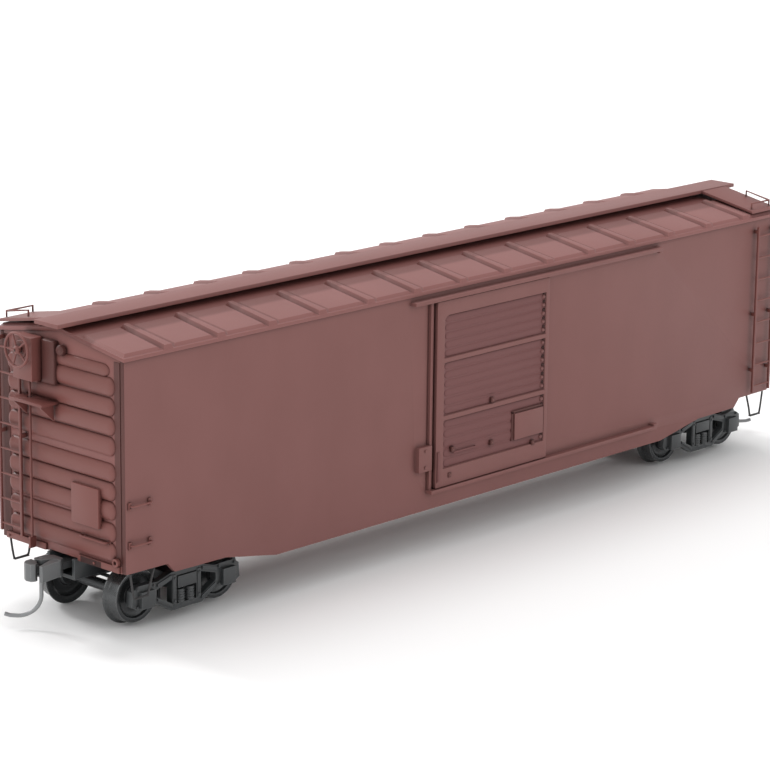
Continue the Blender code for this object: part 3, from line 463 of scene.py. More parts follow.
# %% Copies and finished pieces


def copy_of(obj, matrix=None):
    """A copy with its own mesh, moved by a matrix in millimetres."""
    copy = obj.copy()
    copy.data = obj.data.copy()
    bpy.context.scene.collection.objects.link(copy)
    if matrix is not None:
        matrix = matrix.copy()
        matrix.translation *= MM
        copy.data.transform(matrix)
        if matrix.determinant() < 0:
            copy.data.flip_normals()
    return copy


HALF_TURN = Matrix.Rotation(math.pi, 4, "Z")


def ready(piece, name, body, slot, *nodes, angle=35):
    """Name a finished piece, shade it, tie it to its body and hide the CAD solids it stands for."""
    pick(piece)
    bpy.ops.object.shade_smooth_by_angle(angle=math.radians(angle))
    piece.name = name
    piece.data.name = name
    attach(piece, body)
    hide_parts(*nodes)


def at_both_ends(piece, name, body, slot, *nodes):
    """Use a piece made for end A at end B too; a brace pair in a name is filled with a or b."""
    twin = copy_of(piece, HALF_TURN)
    for letter, flank, item in (("a", "near", piece), ("b", "far", twin)):
        words = [text.format(end=letter, flank=flank) for text in (name, body, *nodes)]
        ready(item, words[0], words[1], slot, *words[2:])


print("pieces can be copied and handed over")

# %% [markdown]
# Flat plates with an odd outline start as a filled circle whose corners are moved to the outline
# and then extruded. Turned pieces start as an open ring of points that is spun about an axle.
# Wires are a small ring that is extruded on and turned a little at each step of a bend, which keeps
# the wire round all the way.

# %% Plates, turned pieces and wires


def plate(outline, low, high, axis, finish=None):
    """A plate with this outline between two heights on an axis; outline is in the other two."""
    pick()
    bpy.ops.mesh.primitive_circle_add(vertices=len(outline), radius=MM, fill_type="NGON")
    obj = bpy.context.object
    first, second = [number for number in range(3) if number != axis]
    for vertex, (a, b) in zip(obj.data.vertices, outline):
        place = [low * MM] * 3
        place[first], place[second] = a * MM, b * MM
        vertex.co = place
    choose(obj, "FACE", lambda middle, way: True)
    step = [0.0, 0.0, 0.0]
    step[axis] = (high - low) * MM
    bpy.ops.mesh.extrude_region_move(TRANSFORM_OT_translate={"value": step})
    bpy.ops.mesh.select_all(action="SELECT")
    bpy.ops.mesh.normals_make_consistent(inside=False)
    leave()
    return settled(finish)


def turned(profile, middle, axis, finish=None, steps=32):
    """A piece spun about an axis from (radius, height) points; closed if it never meets the axis."""
    pick()
    bpy.ops.mesh.primitive_circle_add(vertices=len(profile), radius=MM, fill_type="NOTHING")
    obj = bpy.context.object
    for vertex, (radius, height) in zip(obj.data.vertices, profile):
        vertex.co = (radius * MM, 0.0, height * MM)
    on_axis = profile[0][0] == 0.0 and profile[-1][0] == 0.0
    if on_axis:
        choose(obj, "EDGE", lambda middle, way: abs(middle.x) < 1e-6)
        bpy.ops.mesh.delete(type="EDGE_FACE")
        leave()
    choose(obj, "VERT", lambda middle, way: True)
    bpy.ops.mesh.spin(steps=steps, angle=math.tau, center=(0, 0, 0), axis=(0, 0, 1))
    bpy.ops.mesh.select_all(action="SELECT")
    bpy.ops.mesh.remove_doubles(threshold=0.0005 * MM)
    bpy.ops.mesh.normals_make_consistent(inside=False)
    leave()
    turn = {"X": (0, math.pi / 2, 0), "Y": (-math.pi / 2, 0, 0), "Z": (0, 0, 0)}[axis]
    obj.rotation_euler = turn
    obj.location = Vector(middle) * MM
    pick(obj)
    return settled(finish)


def wire(path, radius, origin, along, out, finish=None, bend=0.45, sides=8, steps=4):
    """A wire bent in one plane; path points are (along, out) from the origin."""
    points = [Vector(point) for point in path]
    route = [(points[0], 0.0)]
    for before, corner, after in zip(points, points[1:], points[2:]):
        arrive, go = (corner - before).normalized(), (after - corner).normalized()
        turn = math.atan2(arrive.x * go.y - arrive.y * go.x, arrive.dot(go))
        reach = min(bend * abs(math.tan(turn / 2)), (corner - before).length / 2.1,
                    (after - corner).length / 2.1)
        for step in range(steps + 1):
            t = step / steps
            start, end = corner - arrive * reach, corner + go * reach
            spot = (1 - t) ** 2 * start + 2 * t * (1 - t) * corner + t * t * end
            route.append((spot, turn / steps if step else 0.0))
    route.append((points[-1], 0.0))
    pick()
    first = (route[1][0] - route[0][0]).normalized()
    bpy.ops.mesh.primitive_circle_add(
        vertices=sides, radius=radius * MM, fill_type="NGON",
        location=(*(points[0] * MM), 0.0),
        rotation=(math.pi / 2, 0.0, math.atan2(first.y, first.x) + math.pi / 2),
    )
    obj = settled(finish)
    choose(obj, "FACE", lambda middle, way: True)
    for (here, _), (there, turn) in zip(route, route[1:]):
        step = (there - here) * MM
        bpy.ops.mesh.extrude_region_move(TRANSFORM_OT_translate={"value": (step.x, step.y, 0.0)})
        if turn:
            bpy.ops.transform.rotate(value=-turn, orient_axis="Z",
                                     center_override=(there.x * MM, there.y * MM, 0.0))
    bpy.ops.mesh.select_all(action="SELECT")
    bpy.ops.mesh.normals_make_consistent(inside=False)
    leave()
    along, out = Vector(along).normalized(), Vector(out).normalized()
    frame_turn = Matrix((along, out, along.cross(out))).transposed().to_4x4()
    obj.data.transform(Matrix.Translation(Vector(origin) * MM) @ frame_turn)
    return obj


print("plates, turned pieces and wires can be made")

# %% [markdown]
# A pressed rib is half of a ball drawn out along its length. Where a CAD solid already has the right
# shape, its copy is merged first, since its mesh is loose triangles, and then gets soft edges.

# %% Ribs, softened copies and bolts


def swelling(middle, half, axis, stretch, finish=None, sides=24, rings=12):
    """A pressed rib: a ball drawn out along an axis, given by its half sizes and half length."""
    pick()
    turn = {"X": (0, math.pi / 2, 0), "Y": (math.pi / 2, 0, 0), "Z": (0, 0, 0)}[axis]
    bpy.ops.mesh.primitive_uv_sphere_add(segments=sides, ring_count=rings, radius=1.0, rotation=turn)
    obj = settled(finish)
    obj.data.transform(Matrix.Diagonal((*(value * MM for value in half), 1.0)))
    number = "XYZ".index(axis)
    choose(obj, "FACE", lambda spot, way: spot[number] > 0)
    step = [0.0, 0.0, 0.0]
    step[number] = 2 * (stretch - half[number]) * MM
    bpy.ops.mesh.extrude_region_move(TRANSFORM_OT_translate={"value": step})
    leave()
    offset = Vector(middle) * MM - Vector(step) / 2
    obj.data.transform(Matrix.Translation(offset))
    return obj


def softened(node, width, finish, segments=2, angle=40):
    """A copy of a CAD solid, its triangles merged into whole faces and its edges rounded."""
    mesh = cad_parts[node].data.copy()
    obj = bpy.data.objects.new(node + "_copy", mesh)
    bpy.context.scene.collection.objects.link(obj)
    mesh.materials.clear()
    mesh.materials.append(finish)
    for face in mesh.polygons:
        face.material_index = 0
    choose(obj, "VERT", lambda middle, way: True)
    bpy.ops.mesh.remove_doubles(threshold=0.001 * MM)
    bpy.ops.mesh.dissolve_limited(angle_limit=math.radians(1.0))
    leave()
    return softly(obj, width, segments, angle)


def bolt(place, way, finish, radius=0.26, high=0.2):
    """A hexagon bolt head standing on a surface."""
    start = Vector(place)
    return softly(bar(start, start + Vector(way) * high, radius, finish, sides=6), 0.04, 1)


print("ribs, softened copies and bolts can be made")

# %% [markdown]
# ## Roof
# The roof is a gabled sheet with pressed panels. Between the panels run the seam caps, low bars that
# widen from the walk to the eaves. Panels and caps could be laid on as loose plates, but pressing
# them from one sheet leaves no cracks: a block is cut along the ridge and at every panel edge, the
# ridge is lifted, and the panels and caps are raised by two insets each.

# %% Roof
RIBS = 14
RIB_PITCH = 2 * (END_X - 9.9) / (RIBS - 1)
CAP_HALF = 1.15
CAP_RISE = 0.78
CAP_MARGIN, CAP_EDGE = 0.06, 0.3
PANEL_MARGIN, PANEL_EDGE, PANEL_RISE = 0.4, 0.5, 0.5
FIELD_INNER, FIELD_OUTER = 5.0, 16.45
CAP_SPREAD = ((FIELD_INNER, -0.3), (FIELD_OUTER, 0.45))
ROOF_THICK = 0.65
CLOSE = 0.05
rib_places = [(number - (RIBS - 1) / 2) * RIB_PITCH for number in range(RIBS)]
(roof_x0, roof_x1), (roof_y0, roof_y1), _ = span("roof")


def roof_top(y):
    return EAVE_Z + (SIDE_Y - abs(y)) * ROOF_SLOPE + ROOF_THICK


eave = roof_top(roof_y1)
roof = block((roof_x0, roof_x1), (roof_y0, roof_y1), (eave - ROOF_THICK, eave), ROOF_RED)
slice_at(roof, 1, (0.0,))
choose(roof, "VERT", lambda spot, way: abs(spot.y) < 0.01)
bpy.ops.transform.translate(value=(0, 0, roof_y1 * ROOF_SLOPE * MM))
leave()
slice_at(roof, 1, (-FIELD_OUTER, -FIELD_INNER, FIELD_INNER, FIELD_OUTER))
slice_at(roof, 0, [place + side * CAP_HALF for place in rib_places for side in (-1, 1)])
for side in (-1, 1):
    for place_y, spread in CAP_SPREAD:
        choose(roof, "VERT", lambda spot, way: abs(abs(spot.y) - place_y) < CLOSE and any(
            abs(spot.x - rib - side * CAP_HALF) < CLOSE for rib in rib_places))
        bpy.ops.transform.translate(value=(side * spread * MM, 0, 0))
        leave()


def in_field(spot, way):
    return way.z > 0.5 and FIELD_INNER < abs(spot.y) < FIELD_OUTER


def is_cap(spot):
    return any(abs(spot.x - place) < CAP_HALF for place in rib_places)


def pressed(test, flat, wide, rise):
    """Raise faces from the sheet: a flat margin, then a sloping edge all round."""
    count = choose(roof, "FACE", test)
    bpy.ops.mesh.inset(thickness=flat * MM, depth=0.0, use_individual=True)
    bpy.ops.mesh.inset(thickness=wide * MM, depth=rise * MM, use_individual=True)
    leave()
    return count


panels = pressed(lambda spot, way: in_field(spot, way) and not is_cap(spot),
                 PANEL_MARGIN, PANEL_EDGE, PANEL_RISE)
caps = pressed(lambda spot, way: in_field(spot, way) and is_cap(spot)
               and abs(spot.z - roof_top(spot.y)) < CLOSE, CAP_MARGIN, CAP_EDGE, CAP_RISE)
softly(roof, 0.14, 2, angle=12)
ready(roof, "roof_sheet", "car", "body_paint", "roof")
print(panels, "panels and", caps, "seam caps pressed in the roof")

# %% [markdown]
# ## Running board
# A smooth walk lies along the ridge on saddles and slopes down to the corners at each end. It could be
# built again board by board, but its flat shape is already right in the CAD, so a copy is merged
# and its edges are softened.

# %% Running board
walk = softened("running_board", 0.1, WALK_RED)
ready(walk, "roof_walk", "car", "body_paint", "running_board")
print("the walk is", round(span("running_board")[0][1] * 2, 1), "mm long")

# %% [markdown]
# ## Ends
# Each end is a steel sheet pressed into broad rounded ribs that run out to a point short of the
# corner. A rib could be a bevelled bar, but half of a ball drawn out sideways lets light run over it
# softly and gives its tip a small bright crescent.

# %% Ribs of an end
RIB_SHARES = (0.091, 0.184, 0.286, 0.377, 0.467, 0.59, 0.684, 0.774, 0.868)
TOP_RIB_SHARE = 0.94
RIB_OUT, RIB_POINT, RIB_HALF, RIB_STOP = 0.72, 1.3, 1.72, 2.3
TOP_RIB_OUT, TOP_RIB_POINT, TOP_RIB_HALF, TOP_RIB_STOP = 0.8 * RIB_OUT, 1.6, 1.15, 3.6
RIB_PARTING = 0.02
OUTER_PITCH = 3.4
end_rib_places = [CORNER_Z + share * (EAVE_Z - CORNER_Z) for share in RIB_SHARES]
top_rib_place = CORNER_Z + TOP_RIB_SHARE * (EAVE_Z - CORNER_Z)


def end_ribs():
    """The ribs of one end; each is as tall as its nearer neighbour allows."""
    levels = [end_rib_places[0] - OUTER_PITCH, *end_rib_places, end_rib_places[-1] + OUTER_PITCH]
    ribs = []
    for below, z, above in zip(levels, levels[1:], levels[2:]):
        half = min(RIB_HALF, min(z - below, above - z) / 2 - RIB_PARTING)
        ribs.append(swelling((END_X, 0, z), (RIB_OUT, RIB_POINT, half), "Y", SIDE_Y - RIB_STOP, END_RED))
    ribs.append(swelling((END_X, 0, top_rib_place), (TOP_RIB_OUT, TOP_RIB_POINT, TOP_RIB_HALF), "Y",
                         SIDE_Y - TOP_RIB_STOP, END_RED))
    return ribs


print("an end has", len(end_rib_places) + 1, "ribs")

# %% [markdown]
# The sheet itself is an outline with a gable above and a notch below for the coupler. A placard
# board, the end sill with a dark block for its slot, the corner strips and a pocket for a push pole
# are laid on it. The slot block and the corner strips are dark red as painted shade.

# %% Ends
NOTCH = 4.0
FLOOR_Z = 12.4
SILL_OUT, SILL_FOOT, SILL_HEAD = 0.5, 0.1, 1.3
SLOT_NEAR, SLOT_FAR = 5.0, 10.3
STRIP_IN, STRIP_WIDE = 1.07, 1.43
BOARD_IN, BOARD_WIDE, BOARD_OUT = 5.5, 7.0, 1.35
POLE_POCKET = [(0.32, 0.0), (0.75, 0.0), (0.75, 0.62), (0.62, 0.72), (0.42, 0.72), (0.32, 0.6)]


def end_wall():
    """One end: sheet, ribs, placard board, pole pocket, sill, corner strips and bolts."""
    wide = SIDE_Y - WALL - GAP
    low, eave_z = CORNER_Z, EAVE_Z + WALL * ROOF_SLOPE - 0.02
    ridge = EAVE_Z + SIDE_Y * ROOF_SLOPE - GAP
    outline = [(-wide, low), (-NOTCH, low), (-NOTCH, FLOOR_Z + GAP), (NOTCH, FLOOR_Z + GAP),
               (NOTCH, low), (wide, low), (wide, eave_z), (0, ridge), (-wide, eave_z)]
    board_far = SIDE_Y - BOARD_IN
    parts = [
        softly(plate(outline, END_X - WALL, END_X, 0, PLATE_RED), SHEET_EDGE),
        *end_ribs(),
        soft_block((END_X + BOARD_OUT - 1.0, END_X + BOARD_OUT), (board_far - BOARD_WIDE, board_far),
                   (end_rib_places[1] + 0.4, end_rib_places[3] + 0.2), END_RED, SHEET_EDGE),
        turned(POLE_POCKET, (END_X + 0.25, SIDE_Y - 1.9, low + 2.0), "X", END_RED, steps=20),
        # A dark block for the sill's slot: painted shade.
        block((END_X + 0.3, END_X + SILL_OUT + 0.03), (SLOT_NEAR, SLOT_FAR),
              (low + 0.15, low + 1.2), PAINTED_DEEP_SHADE_RED),
    ]
    for side in (-1, 1):
        strip = side * (SIDE_Y - STRIP_IN)
        parts += [
            soft_block((END_X - 0.3, END_X + SILL_OUT), (side * (NOTCH + 0.2), side * (SIDE_Y - 1.35)),
                       (low + SILL_FOOT, low + SILL_HEAD), END_RED, SHEET_EDGE),
            # The corner strip is dark red as painted shade.
            soft_block((END_X - 0.3, END_X + 0.1), (strip, strip - side * STRIP_WIDE),
                       (low + 1.4, EAVE_Z - 0.4), PAINTED_SHADE_RED, FINE_EDGE, 1),
        ]
    for y in (-SIDE_Y + 2.2, -8.6, 8.6):
        parts.append(bolt((END_X + SILL_OUT, y, low + 0.7), (1, 0, 0), END_RED))
    return joined(*parts)


at_both_ends(end_wall(), "end_sheet_{end}", "car", "body_paint", "end_{end}")
print(f"ends stand {CORNER_Z:.1f} to {EAVE_Z:.1f} at the corners")

# %% [markdown]
# ## Sides
# The sides are smooth sheets with a deep sill between the trucks. The tracks, the door post and the
# door stop stand on them. Extruding all that again would only repeat the CAD, whose flat shape is
# already right, so the solid is copied, merged and given soft edges. A dark strip of painted shade
# beside the doorway and the bolts of the track and the stop are added; the sheet's upright ends are
# painted shade too.

# %% Sides
DOOR_LEFT, DOOR_RIGHT = span("door_near")[0]
DOOR_BOTTOM, DOOR_TOP = span("door_near")[2]
STOP_X, STOP_BOLTS = DOOR_LEFT - 2.7, (DOOR_BOTTOM + 4.6, DOOR_BOTTOM + 7.8)
TRACK_BOLTS = range(int(DOOR_RIGHT) + 5, int(DOOR_RIGHT) + 34, 7)


def side_sheet():
    """One side, with its upright ends and a strip beside the doorway in painted shade, and its bolts."""
    sheet = softened("side_near", 0.08, SIDE_RED)
    sheet.data.materials.append(PAINTED_SHADE_RED)
    # The sheet's upright end faces take the painted shade red.
    for face in sheet.data.polygons:
        face.material_index = int(abs(face.normal.x) > 0.9 and abs(face.center.x / MM) > END_X - 0.2)
    # A dark strip beside the doorway: painted shade.
    doorway_shade_strip = soft_block((DOOR_LEFT - 1.45, DOOR_LEFT - 0.04), (-SIDE_Y - 0.1, -SIDE_Y + 0.2),
                      (DOOR_BOTTOM - 0.3, DOOR_TOP + 0.1), PAINTED_SHADE_RED, FINE_EDGE, 1)
    bolts = [bolt((STOP_X, -SIDE_Y - 1.1, z), (0, -1, 0), SIDE_RED, 0.3, 0.22) for z in STOP_BOLTS]
    bolts += [bolt((x, -SIDE_Y - 0.05, DOOR_BOTTOM - 1.15), (0, -1, 0), SIDE_RED, 0.2, 0.14)
              for x in TRACK_BOLTS]
    return joined(sheet, doorway_shade_strip, *bolts)


at_both_ends(side_sheet(), "side_sheet_{flank}", "car", "body_paint", "side_{flank}")
print("a side has", len(TRACK_BOLTS), "track bolts and", len(STOP_BOLTS), "on its door stop")

# %% [markdown]
# ## Sliding doors
# A door has a flat frame around a recess with three panels, parted by two bars. The panels could be
# cut out with a boolean, but an inset that goes inwards keeps the faces clean for the bevel that
# rounds the top panel's corners.

# %% Door leaf
PANEL_SHARES = ((0.337, 5), (0.366, 6), (0.297, 5))
LEFT_STILE, RIGHT_STILE, FOOT_RAIL, HEAD_RAIL = 2.0, 0.9, 3.0, 2.4
RECESS = 0.45
RECESS_CORNER = 1.3
BAR_HALF = 0.4
door_front, door_back = span("door_near")[1][0] + 0.25, span("door_near")[1][1]
panel_left, panel_right = DOOR_LEFT + LEFT_STILE, DOOR_RIGHT - RIGHT_STILE
panel_y = door_front + RECESS


def panel_rows():
    """The bottom, top and number of corrugations of each panel, from the lowest up."""
    bottom, top = DOOR_BOTTOM + FOOT_RAIL, DOOR_TOP - HEAD_RAIL
    rows, foot = [], bottom
    for share, count in PANEL_SHARES:
        head = foot + share * (top - bottom)
        rows.append((foot + BAR_HALF, head - BAR_HALF, count))
        foot = head
    return rows


def door_leaf(rows):
    """The flat frame with its panels pressed in."""
    door = block((DOOR_LEFT, DOOR_RIGHT), (door_front, door_back), (DOOR_BOTTOM, DOOR_TOP), SIDE_RED)
    slice_at(door, 0, (panel_left, panel_right))
    slice_at(door, 2, [z for low, high, _ in rows for z in (low, high)])
    choose(door, "FACE", lambda spot, way: (way.y < -0.5 and panel_left < spot.x < panel_right
                                            and any(low < spot.z < high for low, high, _ in rows)))
    bpy.ops.mesh.inset(thickness=0.12 * MM, depth=-RECESS * MM, use_individual=True)
    leave()
    choose(door, "EDGE", lambda spot, way: (abs(way.y) > 0.6 and abs(spot.x - panel_left) < 0.2
                                            and abs(spot.y - door_front - RECESS / 2) < CLOSE
                                            and spot.z > rows[-1][1] - 0.2))
    bpy.ops.mesh.bevel(offset=RECESS_CORNER * MM, segments=5, affect="EDGES")
    leave()
    softly(door, 0.09, angle=25)
    door.data.materials.append(DOOR_RED)
    for face in door.data.polygons:
        middle = face.center / MM
        deep = panel_left < middle.x < panel_right and panel_y - 0.2 < middle.y < panel_y + 0.1
        face.material_index = int(deep and face.normal.y < -0.5)
    return door


print("panels with", [count for _, _, count in panel_rows()], "corrugations, from the foot up")

# %% [markdown]
# Each panel has low corrugations that end in short blunt tips beside the right-hand frame, with a
# dark dot of painted shade between the tips. They are the same drawn-out balls as the ribs of the
# ends. Blocks make the placard with its border, the lugs, the lever and its slot, and a bent wire makes
# the lock bar; the border, the lugs and the slot are in the dark red of painted shade.

# %% Sliding doors
PLACARD_FOOT, PLACARD_HIGH = DOOR_BOTTOM + 5.2, 5.2
BORDER_LEFT, PLACARD_LEFT, PLACARD_RIGHT = DOOR_RIGHT - 10.1, DOOR_RIGHT - 9.5, DOOR_RIGHT - 1.2
DOOR_MIDDLE = (DOOR_LEFT + DOOR_RIGHT) / 2 - 0.2
LUGS = ((DOOR_LEFT + 4.6, 6.8), (DOOR_LEFT + 3.8, 2.0), (DOOR_RIGHT - 4.1, 3.7),
        (DOOR_MIDDLE, 6.0), (DOOR_MIDDLE, 14.4))


def corrugations(low, high, count):
    """The ridges of one panel, with their tips and the dots between the tips."""
    pitch = (high - low) / count
    middle, reach = (panel_left + panel_right) / 2, (panel_right - panel_left) / 2 - 0.45
    parts = []
    for number in range(count):
        z = low + (number + 0.5) * pitch
        parts += [
            swelling((middle, panel_y, z), (1.0, 0.13, pitch * 0.42), "X", reach, DOOR_RED, 16, 8),
            swelling((panel_right - 0.62, panel_y, z), (0.3, 0.42, pitch * 0.24), "X", 0.45,
                     SIDE_RED, 12, 6),
            # The dark dot between the tips is painted shade.
            swelling((panel_right - 0.3, panel_y, z + pitch * 0.42), (0.2, 0.2, pitch * 0.16), "X", 0.42,
                     PAINTED_DEEP_SHADE_RED, 12, 6),
        ]
    return parts


def door_fittings():
    """The placard and its border, the lever in its slot, the lock bar and the lugs."""
    head = PLACARD_FOOT + PLACARD_HIGH
    sunk = (door_front + 0.2, panel_y + 0.2)
    parts = [
        soft_block((PLACARD_LEFT, PLACARD_RIGHT), (door_front - 0.12, panel_y + 0.2),
                   (PLACARD_FOOT, head), SIDE_RED, SMALL_EDGE),
        # The placard's dark border is painted shade.
        soft_block((BORDER_LEFT, PLACARD_LEFT), sunk, (PLACARD_FOOT - 0.1, head + 0.4), PAINTED_SHADE_RED, 0.05),
        soft_block((BORDER_LEFT, PLACARD_RIGHT), sunk, (head, head + 0.5), PAINTED_SHADE_RED, 0.05),
        soft_block((DOOR_LEFT + 0.35, DOOR_LEFT + 1.0), (door_front - 0.2, door_front + 0.2),
                   (DOOR_BOTTOM + 1.2, DOOR_BOTTOM + 7.0), DOOR_RED, SHEET_EDGE),
        # The lever's dark slot is painted shade.
        soft_block((DOOR_LEFT + 0.1, DOOR_LEFT + 0.42), (door_front - 0.04, door_front + 0.2),
                   (DOOR_BOTTOM + 1.0, DOOR_BOTTOM + 7.1), PAINTED_SHADE_RED, FINE_EDGE, 1),
        wire([(-3.2, 0.0), (-3.2, 0.42), (3.0, 0.42), (3.0, 0.0)], 0.13,
             (DOOR_LEFT + 8.0, door_front + 0.3, DOOR_BOTTOM + 6.2), (1, 0, 0), (0, -1, 0), DOOR_RED),
    ]
    for x, rise in LUGS:
        z = DOOR_BOTTOM + rise
        parts += [
            # The lugs take the dark red of painted shade.
            soft_block((x - 0.45, x + 0.45), (door_front - 0.2, panel_y + 0.2), (z - 0.5, z + 0.5),
                       PAINTED_SHADE_RED, SHEET_EDGE),
            bolt((x, door_front - 0.2, z), (0, -1, 0), FITTING_RED, 0.2, 0.05),
        ]
    return parts


rows = panel_rows()
ridges = [part for row in rows for part in corrugations(*row)]
at_both_ends(joined(door_leaf(rows), *ridges, *door_fittings()), "sliding_door_{flank}",
             "door_{flank}", "body_paint", "door_{flank}")
print(f"each door is {DOOR_RIGHT - DOOR_LEFT:.1f} by {DOOR_TOP - DOOR_BOTTOM:.1f} mm")

# %% [markdown]
# ## Ladders, steps and grab irons
# Ladders are flat stiles with round rungs. Both kinds stand off their wall on feet with a bolt head,
# so one function makes them: it works along the wall, out from it and upwards, and swaps the first
# two for an end.

# %% Ladders
RUNGS, RUNG_RADIUS = 8, 0.19
LOWEST_RUNG, RUNG_ROOM = 1.4, 3.4
STILE_WIDE, STILE_DEEP = 0.55, 0.45
FOOT_WIDE, FOOT_HIGH = 0.6, 0.7


def ladder(node, on_side, feet):
    """A ladder on a side or on an end, with feet at these heights."""
    place = span(node)
    (left, right), (low, high) = place[0 if on_side else 1], place[2]
    out, skin = place[1] if on_side else place[0][::-1]
    inward, way = (1, (0, -1, 0)) if on_side else (-1, (1, 0, 0))

    def laid(along, off, up):
        return (along, off, up) if on_side else (off, along, up)

    parts = [soft_block(*laid((edge, edge + STILE_WIDE), (out, out + inward * STILE_DEEP), (low, high)),
                        FITTING_RED, SMALL_EDGE) for edge in (left, right - STILE_WIDE)]
    for number in range(RUNGS):
        off, z = out + inward * 0.22, low + LOWEST_RUNG + number * (high - low - RUNG_ROOM) / (RUNGS - 1)
        parts.append(bar(laid(left + 0.2, off, z), laid(right - 0.2, off, z), RUNG_RADIUS, FITTING_RED,
                         sides=10))
    for edge in (left, right - FOOT_WIDE):
        for z in feet:
            parts.append(soft_block(*laid((edge, edge + FOOT_WIDE), (out + inward * 0.3, skin),
                                          (z, z + FOOT_HIGH)), FITTING_RED, SMALL_EDGE))
            parts.append(bolt(laid(edge + 0.28, out + inward * 0.02, z + 0.35), way, FITTING_RED,
                              0.16, 0.01))
    return joined(*parts)


low, high = span("side_ladder_a")[2]
at_both_ends(ladder("side_ladder_a", True, (low + 4.5, (low + high) / 2 - 1.25, high - 1.4)),
             "ladder_on_side_{end}", "car", "body_paint", "side_ladder_{end}")
between_ribs = (end_rib_places[4] + end_rib_places[5]) / 2
at_both_ends(ladder("end_ladder_a", False, (between_ribs - 0.3, span("end_ladder_a")[2][1] - 0.85)),
             "ladder_on_end_{end}", "car", "body_paint", "end_ladder_{end}")
print("each ladder has", RUNGS, "rungs")

# %% [markdown]
# Corner steps hang below the sill as a bent strap with a tread, and a grab iron is a wire with two
# bends between two foot plates. A curve object could be given a round section, but it would have to
# be made a mesh and closed; the wire helper is solid from the start.

# %% Steps and grab irons
STEP_RADIUS, GRAB_RADIUS = 0.2, 0.19
SIDE_STAND, END_STAND = 0.88, 1.25
PLATE_HALF, PLATE_THICK = 0.36, 0.3

for corner in ("ladder_step", "grab_step"):
    (x0, x1), (y0, y1), (_, z1) = span(corner + "_a")
    middle_y, width = (y0 + y1) / 2, x1 - x0
    hoop = [(0.35, 0.0), (1.35, 2.9), (1.75, 4.6), (width - 1.2, 4.65), (width - 0.85, 2.9),
            (width - 0.4, 0.0)]
    strap = wire(hoop, STEP_RADIUS, (x0, middle_y, z1), (1, 0, 0), (0, 0, -1), STRAP_DARK, bend=0.5)
    tread = soft_block((x0 + 1.7, x1 - 1.15), (middle_y - 0.32, middle_y + 0.32), (z1 - 4.8, z1 - 4.55),
                       STRAP_DARK, SMALL_EDGE)
    at_both_ends(joined(strap, tread), corner + "_strap_{end}", "car", "body_paint", corner + "_{end}")


def foot_plate(x, y, z, way):
    """A grab iron's foot: a small plate against the wall with a bolt head on it."""
    if way[1]:
        spans = ((x - PLATE_HALF, x + PLATE_HALF), (y, y + way[1] * PLATE_THICK), (z - 0.75, z + 0.6))
    else:
        spans = ((x, x + way[0] * PLATE_THICK), (y - PLATE_HALF, y + PLATE_HALF), (z - 0.6, z + 0.6))
    top = (x + way[0] * PLATE_THICK, y + way[1] * PLATE_THICK, z - 0.45)
    return joined(soft_block(*spans, FITTING_RED, SMALL_EDGE), bolt(top, way, FITTING_RED, 0.2, 0.14))


def grab_iron(start, along, way, length, stand):
    """A wire that stands off its wall, between two foot plates."""
    path = [(0, 0.1), (0, stand), (length, stand), (length, 0.1)]
    iron = wire(path, GRAB_RADIUS, start, along, way, FITTING_RED)
    feet = [foot_plate(*(place + reach * part for place, part in zip(start, along)), way)
            for reach in (0, length)]
    return joined(iron, *feet)


for level in ("upper", "lower"):
    (x0, x1), _, (_, z1) = span(f"side_grab_{level}_a")
    iron = grab_iron((x0 + 0.35, SIDE_Y + GAP, z1 - 0.6), (1, 0, 0), (0, 1, 0), x1 - x0 - 0.7, SIDE_STAND)
    at_both_ends(iron, "grab_iron_" + level + "_{end}", "car", "body_paint",
                 "side_grab_" + level + "_{end}")
_, (y0, y1), (z0, z1) = span("end_grab_a")
iron = grab_iron((END_X + GAP, y0 + 0.35, (z0 + z1) / 2), (0, 1, 0), (1, 0, 0), y1 - y0 - 0.7, END_STAND)
at_both_ends(iron, "grab_iron_end_{end}", "car", "body_paint", "end_grab_{end}")
at_both_ends(softened("roof_grab_a", 0.03, FITTING_RED, 1), "grab_iron_roof_{end}", "car", "body_paint",
             "roof_grab_{end}")
print("steps and grab irons are on, the end grabs", round(y1 - y0, 1), "mm long")

# %% [markdown]
# ## Hand brake
# The hand brake stands high on one end: a gear case, a wheel with a round rim and five spokes, a
# chain rod down to the sill, and a small platform for the brakeman. A turned profile could make the
# rim, but a torus is a rim already. The wheel rides on its own body, since it turns.

# %% Hand wheel
_, (wheel_y0, wheel_y1), (wheel_z0, wheel_z1) = span("brake_wheel")
brake_y, brake_z = (wheel_y0 + wheel_y1) / 2, (wheel_z0 + wheel_z1) / 2
wheel_radius = (wheel_z1 - wheel_z0) / 2
WHEEL_X = -END_X - 4.5
RIM_RADIUS = 0.24
SPOKES = 5
HUB = [(0, -0.35), (0.45, -0.35), (0.75, -0.1), (0.75, 0.3), (0.35, 0.45), (0.35, 1.75), (0, 1.75)]
pick()
bpy.ops.mesh.primitive_torus_add(
    location=(WHEEL_X * MM, brake_y * MM, brake_z * MM), rotation=(0, math.pi / 2, 0),
    major_radius=(wheel_radius - RIM_RADIUS) * MM, minor_radius=RIM_RADIUS * MM,
    major_segments=48, minor_segments=10)
parts = [settled(FITTING_RED)]
for number in range(SPOKES):
    angle = math.tau * number / SPOKES
    reach = wheel_radius - 0.3
    tip = (WHEEL_X, brake_y + reach * math.cos(angle), brake_z + reach * math.sin(angle))
    foot = (WHEEL_X + 0.12, brake_y + 0.5 * math.cos(angle), brake_z + 0.5 * math.sin(angle))
    parts.append(bar(foot, tip, 0.2, FITTING_RED, sides=8, tip=0.15))
parts.append(turned(HUB, (WHEEL_X, brake_y, brake_z), "X", FITTING_RED, steps=20))
